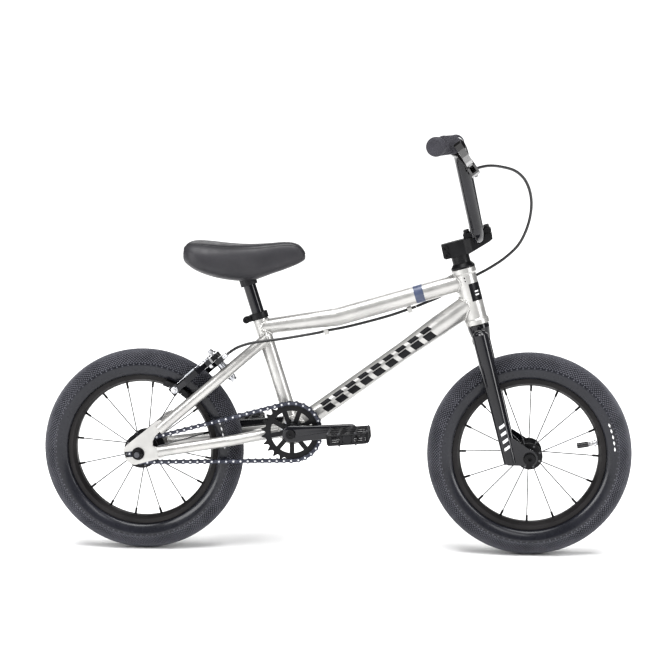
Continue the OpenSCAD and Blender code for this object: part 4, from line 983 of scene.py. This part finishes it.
@dataclass
class FrameLooks:
    """Welds, badge, band and painted marks of the frame."""

    bead: float = 2.3
    badge_low: float = 41.0
    badge_high: float = 72.0
    band_at: float = 148.5
    band_half: float = 8.0
    bars: int = 9
    bars_from: float = 66.0
    bar_pitch: float = 27.0
    bar_length: float = 18.0
    tubes: dict[str, Tube] = field(default_factory=dict)

    def __post_init__(self) -> None:
        """Sets the tubes that the welds run round."""
        bb = Vector(LAYOUT.bb)
        steer = LAYOUT.steering
        seat = LAYOUT.seat

        def at_head(height: float) -> Vector:
            """A point of the steering axis, in millimetres."""
            return (steer @ Vector((0, 0, height))) / MM

        def at_seat(height: float) -> Vector:
            """A point of the seat tube's axis, in millimetres."""
            return (seat @ Vector((0, 0, height))) / MM

        bend = Vector((4.5, 0, 416))
        self.tubes = {
            "head": Tube(at_head(0), at_head(100), 19.0),
            "seat": Tube(bb, at_seat(212), 12.7),
            "shell": Tube(bb + Vector((0, -34, 0)), bb + Vector((0, 34, 0)), 23.0),
            "top_rear": Tube(bend, at_seat(188), 13.6),
            "top_front": Tube(bend, at_head(78), 15.3),
            "down": Tube(bb, at_head(39), 18.3),
            "down_low": Tube(at_head(39), bb, 15.7),
            "seat_foot": Tube(at_seat(212), bb, 12.7),
        }

    def seatstay(self, side: int) -> Tube:
        """The upper run of a seat stay.

        Args:
            side: 1 for the rider's left, -1 for the right.

        Returns:
            The tube, from its lower end to the seat tube.
        """
        rear = Vector((-LAYOUT.wheelbase / 2, 0, LAYOUT.wheel_r))
        return Tube(rear + Vector((142, side * 40, 132)), rear + Vector((222, side * 13, 200)), 9.5)

    def welds(self) -> None:
        """Rippled beads round the welded joints."""
        t = self.tubes
        loops = [
            t[tube].meets(t[other])
            for tube, other in (
                ("top_front", "head"), ("down", "head"), ("top_rear", "seat"),
                ("down_low", "shell"), ("seat_foot", "shell"),
            )
        ]
        rear = Vector((-LAYOUT.wheelbase / 2, 0, LAYOUT.wheel_r))
        for side in (-1, 1):
            loops.append(self.seatstay(side).meets(t["seat"]))
            chainstay = Tube(
                rear + Vector((205, side * 26.5, 29)), rear + Vector((256.3, side * 22, 37)), 9.5
            )
            loops.append(chainstay.meets(t["shell"]))
        for side in (-1, 1):
            middle = Vector(LAYOUT.caliper)
            bridge = Tube(middle, middle + Vector((0, side * 50, 0)), 8.0)
            loops.append(bridge.meets(self.seatstay(side)))
        beads = tube_along(
            "frame_welds", [[p * MM for p in loop] for loop in loops], self.bead * MM, SILVER,
            closed=True, ripple=0.16, pitch=0.0034, step=0.0008, sides=10,
        )
        ride(beads, "frame", "frame_silver")

    def shell_patch(
        self, name: str, tube: Tube, spans: Sequence[tuple[float, float, float, float]],
        finish: Finish, slant: float = 0.0, lift: float = 0.22,
    ) -> bpy.types.Object:
        """Thin raised patches that follow a tube's wall.

        Args:
            name: the piece's name.
            tube: the tube they lie on.
            spans: (low angle, high angle, from, to) of each patch, in degrees round the tube
                and millimetres along it.
            finish: the surface.
            slant: millimetres that a patch leans along the tube between its edges.
            lift: how far it stands off the wall, in millimetres.

        Returns:
            The patches as one object.
        """
        points: list[Vector] = []
        faces: list[tuple[int, ...]] = []
        for low, high, start, end in spans:
            steps = max(4, int(abs(high - low) / 6))
            base = len(points)
            for k in range(steps + 1):
                share = k / steps
                angle = math.radians(low + (high - low) * share)
                lean = slant * (share - 0.5)
                for along, height in ((start, -0.3), (start, lift), (end, lift), (end, -0.3)):
                    points.append(tube.wall(angle, along + lean, height) * MM)
            faces += ring_faces(steps + 1, 4, start=base)
        piece = mesh_object(name, points, faces, finish)
        set_normals_outwards(piece)
        for face in piece.data.polygons:
            face.use_smooth = False
        return piece

    def trim(self) -> None:
        """Badge, coloured band and the row of plain bars on the down tube."""
        t = self.tubes
        head = t["head"]
        front = self.facing(head, Vector((1, 0, 0.27)))
        badge = self.shell_patch(
            "head_badge", head,
            [(front - 84, front + 84, self.badge_low, self.badge_high)], BADGE_BLACK,
        )
        ride(badge, "frame", "black_gloss")
        strokes = self.shell_patch(
            "head_badge_strokes", head,
            [(front - 60, front - 36, 50, 52.5), (front - 60, front - 36, 56, 58.5)],
            MARK_WHITE, lift=0.32,
        )
        ride(strokes, "frame", "black_gloss")
        top = t["top_front"]
        band = self.shell_patch(
            "top_tube_band", Tube(top.start, top.end, 15.55),
            [(0, 360, self.band_at - self.band_half, self.band_at + self.band_half)],
            BAND_BLUE, lift=0.15,
        )
        ride(band, "frame", "frame_silver")
        length = (t["down"].end - t["down"].start).length
        down = Tube(t["down"].start, t["down"].end, 15.7, (length - 140, length - 70, 2.6))
        near = self.facing(down, Vector((0, -1, 0)))
        spans = []
        for k in range(self.bars):
            at = self.bars_from + self.bar_pitch * k
            end = at + self.bar_length
            spans += [(near - 40, near - 12, at, end), (near - 6, near + 40, at, end)]
        marks = self.shell_patch("down_tube_bars", down, spans, BADGE_BLACK, slant=4)
        ride(marks, "frame", "black_gloss")

    def facing(self, tube: Tube, way: Vector) -> float:
        """Angle on a tube's wall, in degrees, that faces a direction."""
        a, b = tube.side()
        return math.degrees(math.atan2(b.dot(way), a.dot(way)))

    def build(self) -> None:
        """Paints the frame's nodes and adds what lies on them."""
        for node in (
            "head_tube", "top_tube", "down_tube", "seat_tube", "bb_shell", "chainstays",
            "seatstays", "dropouts", "stay_bridges", "cable_guides",
        ):
            paint(node, SILVER)
        for node in ("seat_clamp", "seat_clamp_bolt", "rear_axle_nuts"):
            paint(node, SATIN_BLACK)
        paint("frame_bearings", ZINC)
        paint("rear_axle", COG_STEEL)
        self.welds()
        self.trim()


# ---------------------------------------------------------------- steering


@dataclass
class Cockpit:
    """Fork, stem, handlebar and grips."""

    grip_length: float = 118.0
    rib_rows: int = 22
    ribs_round: int = 26
    rib_pitch: float = 4.0
    rib_r: float = 14.1

    def grip(self, side: int) -> None:
        """A soft grip with a flange, rows of small ribs and a closed end.

        Args:
            side: 1 for the rider's left, -1 for the right.
        """
        steer = LAYOUT.steering
        end, bend = on_side(BAR_END, side), on_side(BAR_BEND, side)
        way = (end - bend).normalized()
        base = end - way * (self.grip_length - 4.1)
        place = steer @ aim(base, end)
        profile = [
            (0.3, 0.3), (11.2, 0.2), (14.0, 0.2), (15.4, 1.4), (15.7, 4.2), (15.1, 7.0),
            (14.4, 10.0), (14.2, 14.0), (14.2, 98.0), (14.9, 102.0), (15.6, 106.0), (15.7, 109.5),
            (15.0, 113.5), (13.0, 116.5), (10.5, 117.6), (9.6, 117.0), (4.0, 116.6), (0.3, 116.6),
        ]
        body = turned("grip_body", profile, 48, place, GRIP_RUBBER)
        turn = place.to_3x3().normalized()
        spots, outs, runs = [], [], []
        for row in range(self.rib_rows):
            for k in range(self.ribs_round):
                angle = 2 * math.pi * (k + 0.5 * (row % 2)) / self.ribs_round
                out = Vector((math.cos(angle), math.sin(angle), 0))
                along = Vector((0, 0, 13 + self.rib_pitch * row))
                spots.append(place @ (out * self.rib_r + along))
                outs.append(turn @ out)
                runs.append(turn @ Vector((0, 0, 1)))
        ribs = studs_on(
            "grip_ribs", spots, outs, runs, Stud(0.0046, 0.0034, 0.0009, 0.55), GRIP_RUBBER
        )
        label = "left" if side > 0 else "right"
        whole = joined(f"grip_ribbed_{label}", [body, ribs])
        ride(whole, "steering", "grip_rubber", f"grip_{label}")

    def crown_welds(self) -> None:
        """Weld beads between the fork's crown and its legs."""
        steer = LAYOUT.steering
        loops = []
        for side in (-1, 1):
            out = side * LEG_OUT
            leg = Tube(Vector((0, out, 40)), Vector((0, out, -60)), 14.25)
            bar = Tube(Vector((0, 0, -25)), Vector((0, side, -25)), 14.0)
            loops.append(bar.meets(leg))
        beads = tube_along(
            "fork_welds", [[steer @ p for p in loop] for loop in loops], 0.0017, GLOSS_BLACK,
            closed=True, ripple=0.14, pitch=0.0032, step=0.0008, sides=8,
        )
        ride(beads, "steering", "black_gloss")

    def leg_caps(self) -> None:
        """Domed caps welded into the tops of the fork legs."""
        steer = LAYOUT.steering
        profile = [(0.3, -2.0), (11.0, -2.0), (11.0, 0.3), (9.8, 2.6), (6.4, 4.6), (0.3, 5.4)]
        caps = []
        for side in (-1, 1):
            top = on_side(LEG_TOP, side)
            way = top - on_side(LEG_FOOT, side)
            place = steer @ aim(top, top + way)
            caps.append(turned("fork_leg_cap", profile, 40, place, GLOSS_BLACK))
        ride(joined("fork_leg_caps", caps), "steering", "black_gloss")

    def leg_marks(self, looks: FrameLooks) -> None:
        """Short plain bars across the foot of the drive-side fork leg."""
        steer = LAYOUT.steering
        foot, top = on_side(LEG_FOOT, -1), on_side(LEG_TOP, -1)
        leg = Tube((steer @ foot) / MM, (steer @ top) / MM, 12.9)
        near = looks.facing(leg, Vector((0, -1, 0)))
        spans = [(near - 22, near + 22, 44 + 13 * k, 49 + 13 * k) for k in range(4)]
        bars = looks.shell_patch("fork_leg_bars", leg, spans, MARK_WHITE, slant=4, lift=0.25)
        ride(bars, "steering", "black_gloss")

    def build(self, looks: FrameLooks) -> None:
        """Paints the steering's nodes and adds its pieces."""
        for node in (
            "fork_steerer", "fork_leg_right", "fork_leg_left", "fork_dropouts", "handlebar",
        ):
            paint(node, GLOSS_BLACK)
        for node in ("headset_spacers", "stem", "stem_cap", "stem_bolts", "front_axle_bolts"):
            paint(node, SATIN_BLACK)
        paint("front_axle", COG_STEEL)
        for side in (-1, 1):
            self.grip(side)
        self.crown_welds()
        self.leg_caps()
        self.leg_marks(looks)


# ---------------------------------------------------------------- drive


@dataclass
class Drive:
    """Cranks, pedals, sprocket and chain."""

    arm_inner: float = 56.0
    boss_r: float = 14.8
    eye_r: float = 11.3
    end_steps: int = 24

    def half_round(self, middle: float, radius: float, start: float) -> list[tuple[float, float]]:
        """Half a circle of an arm's outline.

        Args:
            middle: the circle's place along the arm, in millimetres.
            radius: its radius, in millimetres.
            start: its first angle, in degrees.

        Returns:
            Points (along, across) in millimetres.
        """
        points = []
        for k in range(self.end_steps + 1):
            a = math.radians(start + 180 * k / self.end_steps)
            points.append((middle + radius * math.cos(a), radius * math.sin(a)))
        return points

    def arm(self, side: int) -> None:
        """A forged arm with rounded edges in place of the plain one.

        Args:
            side: -1 for the drive side, 1 for the other.
        """
        label = "left" if side > 0 else "right"
        turn = math.radians(LAYOUT.crank_angle + (180 if side > 0 else 0))
        outline = self.half_round(0.0, self.boss_r, 90)
        outline += [(12, -14.2), (30, -13.1), (65, -12.2)]
        outline += self.half_round(LAYOUT.crank_len, self.eye_r, -90)
        outline += [(65, 12.2), (30, 13.1), (12, 14.2)]
        layers = (
            (0.1, 2.2), (0.5, 1.1), (1.6, 0.3), (3.2, 0.05),
            (9.4, 0.05), (11.2, 0.4), (12.3, 1.4), (12.85, 3.4),
        )
        centre = Vector((LAYOUT.crank_len / 2, 0))
        points = []
        for height, inset in layers:
            for x, z in outline:
                spot = Vector((x, z))
                if abs(z) < 8:
                    spot = spot + (centre - spot).normalized() * inset
                else:
                    spot = spot + Vector((0, -math.copysign(inset, z)))
                u = spot.x * math.cos(turn) - spot.y * math.sin(turn)
                v = spot.x * math.sin(turn) + spot.y * math.cos(turn)
                out = side * (self.arm_inner + height)
                points.append(Vector((LAYOUT.bb[0] + u, out, LAYOUT.bb[2] + v)) * MM)
        faces = ring_faces(len(layers), len(outline))
        piece = mesh_object(f"crank_arm_rounded_{label}", points, faces, GLOSS_BLACK)
        set_normals_outwards(piece)
        ride(piece, "crank", "black_gloss", f"crank_arm_{label}")

    def build(self) -> None:
        """Paints the drive's nodes and adds its pieces."""
        paint("chain", CHAIN_STEEL)
        paint_where("chain", ZINC, lambda c: abs(abs(c.y + 0.04) - 0.0046) < 0.00008)
        paint("sprocket", SATIN_BLACK)
        paint("driver", COG_STEEL)
        paint("crank_spindle", SATIN_BLACK)
        paint("pedal_axles", ZINC)
        for side in (-1, 1):
            self.arm(side)
            Pedal(side).build()


@dataclass
class Pedal:
    """An open moulded platform of slim rails and posts round a barrel, with grip pins.

    Its own frame has X forward, Y up and Z outwards from the crank, in millimetres.
    """

    side: int
    inner: float = 73.0
    tilt: float = 5.0
    half_t: float = 9.0
    rail: float = 2.8
    half_l: float = 36.0
    outer: float = 87.0

    def place(self) -> Matrix:
        """Frame of the pedal as the cranks stand at rest."""
        turn = LAYOUT.crank_angle + (180 if self.side > 0 else 0)
        way = Matrix.Translation(Vector(LAYOUT.bb) * MM) @ Matrix.Rotation(math.pi / 2, 4, "X")
        way = way @ Matrix.Rotation(math.radians(turn), 4, "Z") @ Matrix.Scale(MM, 4)
        if self.side > 0:
            way = way @ Matrix.Scale(-1, 4, Vector((0, 0, 1)))
        way = way @ Matrix.Translation((LAYOUT.crank_len, 0, self.inner))
        return way @ Matrix.Rotation(math.radians(self.tilt - LAYOUT.crank_angle), 4, "Z")

    def bars(self) -> list[tuple[Vector, Vector]]:
        """Low and high corners of every rail and post."""
        found = []
        for low in (-self.half_t, self.half_t - self.rail):
            high = low + self.rail
            for z, half in (
                (2.0, 30.0), (20.0, self.half_l), (42.0, self.half_l), (64.0, self.half_l),
                (self.outer - 5, 28.0),
            ):
                found.append((Vector((-half, low, z)), Vector((half, high, z + 4.6))))
            for x in (-self.half_l, self.half_l - 5.5):
                found.append((Vector((x, low, 12)), Vector((x + 5.5, high, 74))))
            for x in (-16.5, 12.0):
                found.append((Vector((x, low, 3)), Vector((x + 4.5, high, self.outer - 1))))
            for side in (-1, 1):
                for x, z, end in ((31, 3, 16), (29.5, 70, self.outer - 1)):
                    at = side * x
                    found.append((Vector((at - 3, low, z)), Vector((at + 3, high, end))))
        reach = self.half_t - 0.5
        for x in (-self.half_l, self.half_l - 5.0):
            for z in (14, 42, 69):
                found.append((Vector((x, -reach, z)), Vector((x + 5, reach, z + 4.6))))
        for z in (2.2, self.outer - 4.8):
            for x in (-29.5, -12, 8, 25.5):
                found.append((Vector((x, -reach, z)), Vector((x + 4, reach, z + 4.4))))
        return found

    def cage(self) -> bpy.types.Object:
        """All rails and posts as one mesh with eased edges."""
        place = self.place()
        work = bmesh.new()
        for low, high in self.bars():
            size = high - low
            middle = Matrix.Translation((low + high) / 2) @ Matrix.Diagonal((*size, 1.0))
            bmesh.ops.create_cube(work, size=1.0, matrix=middle)
        bmesh.ops.bevel(work, geom=list(work.edges), offset=0.7, segments=2, affect="EDGES")
        work.transform(place)
        mesh = bpy.data.meshes.new("pedal_cage")
        work.to_mesh(mesh)
        work.free()
        mesh.materials.append(MOULDED.material())
        made = bpy.data.objects.new("pedal_cage", mesh)
        bpy.context.scene.collection.objects.link(made)
        set_normals_outwards(made)
        return made

    def pins(self) -> bpy.types.Object:
        """Short round pins on both faces."""
        place = self.place()
        turn = place.to_3x3().normalized()
        spots, outs, runs = [], [], []
        for x, z in (
            (-33, 14), (-33, 44), (-33, 71), (33, 14), (33, 44), (33, 71), (-14, 84), (14, 84),
        ):
            for face in (-1, 1):
                spots.append(place @ Vector((x, face * (self.half_t - 0.3), z)))
                outs.append(turn @ Vector((0, face, 0)))
                runs.append(turn @ Vector((0, 0, 1)))
        pin = Stud(0.0032, 0.0032, 0.0024, 0.85, 12)
        return studs_on("pedal_pins", spots, outs, runs, pin, COG_STEEL)

    def build(self) -> None:
        """Makes the pedal in place of the plain one."""
        label = "left" if self.side > 0 else "right"
        profile = [
            (0.3, 1.0), (8.4, 1.0), (9.4, 2.0), (9.4, 20), (7.8, 24), (7.8, 62), (9.2, 66),
            (9.2, 84), (8.2, 85.8), (5.0, 86.4), (0.3, 86.4),
        ]
        barrel = turned("pedal_barrel", profile, 32, self.place(), MOULDED)
        whole = joined(f"pedal_caged_{label}", [self.cage(), barrel, self.pins()])
        ride(whole, f"pedal_{label}", "black_plastic", f"pedal_{label}")


# ---------------------------------------------------------------- brake


@dataclass
class Brake:
    """Lever, caliper and the cable between them."""

    jacket_r: float = 2.45
    front_route: tuple[tuple[float, float, float], ...] = (
        (240, -126, 676), (252, -113, 680), (268, -95, 682), (288, -70, 679.5),
        (310, -50, 672.5), (327, -32, 657), (337, -18, 633), (339, -5, 605), (332.5, 4, 573),
        (318, 12, 543), (295, 18, 520), (269, 23, 502), (246, 26, 489), (217, 26, 473),
        (184, 20, 452), (156, 10, 440.5), (142, 5, 435),
    )
    rear_route: tuple[tuple[float, float, float], ...] = (
        (141, 5, 434.6), (91, 1, 417.5), (26, -1, 400), (-16, -3, 391.5), (-30, -5, 388),
        (-70, -14, 381.5), (-92, -22, 378.5), (-112, -29.5, 376.5), (-130, -34, 374.5),
        (-148, -38, 371.5), (-166, -41.5, 365.5), (-178, -43, 358.5), (-184.4, -43, 353.4),
    )

    def cables(self) -> None:
        """The jacket's two lengths; the rear one rides on the frame and the front one stays fixed
        across the head.
        """
        rear, front = (
            tube_along(name, [smooth_path(route, 8)], self.jacket_r * MM, JACKET, sides=16)
            for name, route in (
                ("brake_cable_frame", self.rear_route), ("brake_cable_loop", self.front_route),
            )
        )
        ride(rear, "frame", "cable_jacket", "brake_cable_rear")
        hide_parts("brake_cable_front")
        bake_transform(front)
        LOG.info("brake_cable_loop: %d faces across the head", len(front.data.polygons))

    def caliper_trim(self) -> None:
        """Pale sleeves on the springs."""
        place = LAYOUT.brake
        sleeves = [
            [place @ Vector((-37, side * 29.2, 41.2)), place @ Vector((-58, side * 30.8, 40.8))]
            for side in (-1, 1)
        ]
        pale = tube_along("spring_sleeves", sleeves, 0.0017, SLEEVE, step=0.003)
        ride(pale, "frame", "zinc_steel")

    def build(self) -> None:
        """Paints the brake's nodes and adds its pieces."""
        paint("lever_bracket", BLACK_CHROME)
        paint("brake_lever", BLACK_CHROME)
        paint("brake_pivot", ZINC)
        for label in ("right", "left"):
            paint(f"brake_arm_{label}", GLOSS_BLACK)
            self.caliper_bright(f"brake_arm_{label}", -1 if label == "right" else 1)
        self.cables()
        self.caliper_trim()

    def caliper_bright(self, node: str, side: int) -> None:
        """Bright pad nuts, anchor and barrel on a caliper arm, and rubber pads."""
        back = LAYOUT.brake.inverted()

        def bright(centre: Vector) -> bool:
            """True on the plated fittings."""
            at = back @ centre
            near_pad = at.x < -60 and math.hypot(at.x + 83.8, at.z - 35) < 7
            pad_nut = near_pad and abs(at.y) > 45.6
            barrel = side > 0 and 18.0 < at.x < 28 and at.y < -38
            near_anchor = side < 0 and math.hypot(at.x + 7, at.y + 44) < 6
            anchor = near_anchor and not 28.7 < at.z < 38.0
            return pad_nut or barrel or anchor

        def rubber(centre: Vector) -> bool:
            """True on the pads."""
            at = back @ centre
            return at.x < -58 and 16.5 < abs(at.y) < 27.2

        paint_where(node, ZINC, bright)
        paint_where(node, MOULDED, rubber)


# ---------------------------------------------------------------- saddle


@dataclass
class Saddle:
    """A crowned, padded saddle with a smooth top panel between two piped seams."""

    stations: tuple[tuple[float, float, float, float], ...] = (
        (-264, 20, 528, 518), (-261, 42, 541, 511), (-252, 55, 547.5, 503),
        (-238, 61, 549, 494.5), (-215, 62, 547.5, 486), (-190, 55, 545, 480.5),
        (-165, 44, 543.5, 478), (-140, 33, 543.5, 480), (-115, 25, 545, 489),
        (-92, 21, 547, 497), (-74, 18.5, 546, 504), (-62, 15.5, 541, 509.5), (-55, 11, 532, 514),
        (-52.5, 5, 524, 517),
    )
    sides: int = 64
    seam: float = 52.0
    seam_depth: float = 0.9
    seam_spread: float = 3.2
    widest: float = 0.42

    def section(self, station: Sequence[float], k: int) -> Vector:
        """A point of one cross-section, in millimetres.

        Args:
            station: place, half width, top and underside.
            k: index round the section.

        Returns:
            The point, pulled in a little along the seams.
        """
        x, half, top, base = station
        angle = 2 * math.pi * k / self.sides
        c, s = math.cos(angle), math.sin(angle)
        middle = base + (top - base) * self.widest
        reach = top - middle if s > 0 else middle - base
        groove = 0.0
        for at in (self.seam, 180 - self.seam):
            off = (math.degrees(angle) - at) / self.seam_spread
            groove += self.seam_depth * math.exp(-(off**2))
        y = half * math.copysign(abs(c) ** 0.8, c)
        z = middle + reach * math.copysign(abs(s) ** 0.75, s)
        inward = Vector((0, -y, middle - z))
        if inward.length > 0:
            inward.normalize()
        return Vector((x, y, z)) + inward * (groove + 0.25)

    def rows(self) -> Rings:
        """Cross-sections along the saddle, smoothed between the stations."""
        spread = smooth_path([(s[0], s[1], s[2]) for s in self.stations], 4, 1.0)
        under = smooth_path([(s[0], s[1], s[3]) for s in self.stations], 4, 1.0)
        return [
            [self.section((a.x, a.y, a.z, b.z), k) * MM for k in range(self.sides)]
            for a, b in zip(spread, under)
        ]

    def build(self) -> None:
        """Makes the padded cover with its panels, piping and base."""
        rings = self.rows()
        points = [p for ring in rings for p in ring]
        cover = mesh_object("saddle_cover", points, ring_faces(len(rings), self.sides), VINYL)
        set_normals_outwards(cover)
        cover.data.materials.append(VINYL_TOP.material())
        span = (self.seam / 360 * self.sides, (180 - self.seam) / 360 * self.sides)
        for face in cover.data.polygons:
            if span[0] - 0.5 <= face.vertices[0] % self.sides < span[1] - 0.5:
                face.material_index = 1
        round_off = cover.modifiers.new("round", "SUBSURF")
        round_off.levels = round_off.render_levels = 1
        ride(cover, "seat", "saddle_cover", "saddle")
        lines = []
        for at in (self.seam, 180 - self.seam):
            k = round(at / 360 * self.sides)
            lines.append([ring[k] for ring in rings[2:-2]])
        piping = tube_along(
            "saddle_piping", lines, 0.0009, PIPING, ripple=0.25, pitch=0.003, step=0.001, sides=8
        )
        ride(piping, "seat", "saddle_cover")
        paint("saddle_base", MOULDED)
        paint("seat_post", GLOSS_BLACK)
        paint("saddle_bolt", ZINC)


# ---------------------------------------------------------------- studio


@dataclass(frozen=True)
class Softbox:
    """A large square lamp: where it hangs, what it looks at, its size and its power."""

    name: str
    at: tuple[float, float, float]
    to: tuple[float, float, float]
    size: tuple[float, float]
    watts: float


@dataclass
class Studio:
    """Pale floor, soft lamps and the camera."""

    camera_at: tuple[float, float, float] = (0.258, -3.256, 0.744)
    yaw: float = 0.0789
    pitch: float = 0.1101
    roll: float = 0.001
    lens: float = 100.56
    sun_power: float = 3.7
    sun_spread: float = 48.0
    sun_tilt: float = 12.0
    surround: float = 0.22
    seen_white: float = 1.05
    floor_half: float = 14.0
    lamps: tuple[Softbox, ...] = (
        Softbox("front", (1.3, -3.2, 2.5), (0, 0, 0.35), (1.8, 0.8), 20),
        Softbox("left", (-2.3, -1.9, 1.3), (0, 0, 0.3), (1.0, 2.2), 46),
        Softbox("right", (2.7, -1.4, 1.3), (0, 0, 0.35), (0.8, 2.2), 34),
        Softbox("back", (0.2, 2.8, 1.9), (0, 0, 0.35), (2.6, 0.9), 16),
    )

    def floor(self) -> None:
        """A wide floor that fades into the backdrop."""
        sheet = [
            Vector((x * self.floor_half, y * self.floor_half, -0.0004))
            for x, y in ((-1, -1), (1, -1), (1, 1), (-1, 1))
        ]
        piece = mesh_object("studio_floor", sheet, [(0, 1, 2, 3)], FLOOR, smooth=False)

    def lights(self) -> None:
        """Soft lamps and an even pale surround."""
        for lamp in self.lamps:
            data = bpy.data.lights.new(lamp.name, "AREA")
            data.shape = "RECTANGLE"
            data.size, data.size_y = lamp.size
            data.energy = lamp.watts
            made = bpy.data.objects.new(lamp.name, data)
            made.location = lamp.at
            made.rotation_mode = "QUATERNION"
            way = Vector(lamp.to) - Vector(lamp.at)
            made.rotation_quaternion = way.to_track_quat("-Z", "Y")
            bpy.context.scene.collection.objects.link(made)
        sun = bpy.data.lights.new("sky_panel", "SUN")
        sun.energy = self.sun_power
        sun.angle = math.radians(self.sun_spread)
        panel = bpy.data.objects.new("sky_panel", sun)
        panel.rotation_euler = (math.radians(self.sun_tilt), 0, 0)
        bpy.context.scene.collection.objects.link(panel)
        bpy.context.scene.world = self.backdrop()
        bpy.context.scene.view_settings.view_transform = "Standard"
        bpy.context.scene.view_settings.look = "Medium High Contrast"

    def backdrop(self) -> bpy.types.World:
        """White where it is seen straight on, and dim where it only lights the bicycle."""
        world = bpy.data.worlds.new("surround")
        world.use_nodes = True
        tree = world.node_tree
        dim = tree.nodes["Background"]
        dim.inputs["Strength"].default_value = self.surround
        bright = tree.nodes.new("ShaderNodeBackground")
        for shade in (dim, bright):
            shade.inputs["Color"].default_value = (1, 1, 1, 1)
        bright.inputs["Strength"].default_value = self.seen_white
        path = tree.nodes.new("ShaderNodeLightPath")
        mix = tree.nodes.new("ShaderNodeMixShader")
        tree.links.new(path.outputs["Is Camera Ray"], mix.inputs[0])
        tree.links.new(dim.outputs[0], mix.inputs[1])
        tree.links.new(bright.outputs[0], mix.inputs[2])
        tree.links.new(mix.outputs[0], tree.nodes["World Output"].inputs["Surface"])
        return world

    def camera(self) -> None:
        """The camera, aimed by its yaw, pitch and roll in radians."""
        data = bpy.data.cameras.new("camera")
        data.lens = self.lens
        data.sensor_width = 36.0
        made = bpy.data.objects.new("camera", data)
        made.location = self.camera_at
        level = math.cos(self.pitch)
        ahead = Vector(
            (-math.sin(self.yaw) * level, math.cos(self.yaw) * level, -math.sin(self.pitch))
        )
        made.rotation_mode = "QUATERNION"
        made.rotation_quaternion = ahead.to_track_quat("-Z", "Y") @ Quaternion((0, 0, 1), self.roll)
        bpy.context.scene.collection.objects.link(made)
        bpy.context.scene.camera = made

    def build(self) -> None:
        """Sets the whole studio."""
        self.floor()
        self.lights()
        self.camera()


def main() -> None:
    """Builds the bicycle's looks and the studio."""
    logging.basicConfig(level=logging.INFO, format="%(name)s: %(message)s")
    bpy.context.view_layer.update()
    Studio().build()
    looks = FrameLooks()
    looks.build()
    Wheel("rear", LAYOUT.rear_axle).build(20.0)
    Wheel("front", LAYOUT.front_axle).build(22.0)
    Cockpit().build(looks)
    Drive().build()
    Brake().build()
    Saddle().build()


if __name__ == "__main__":
    main()
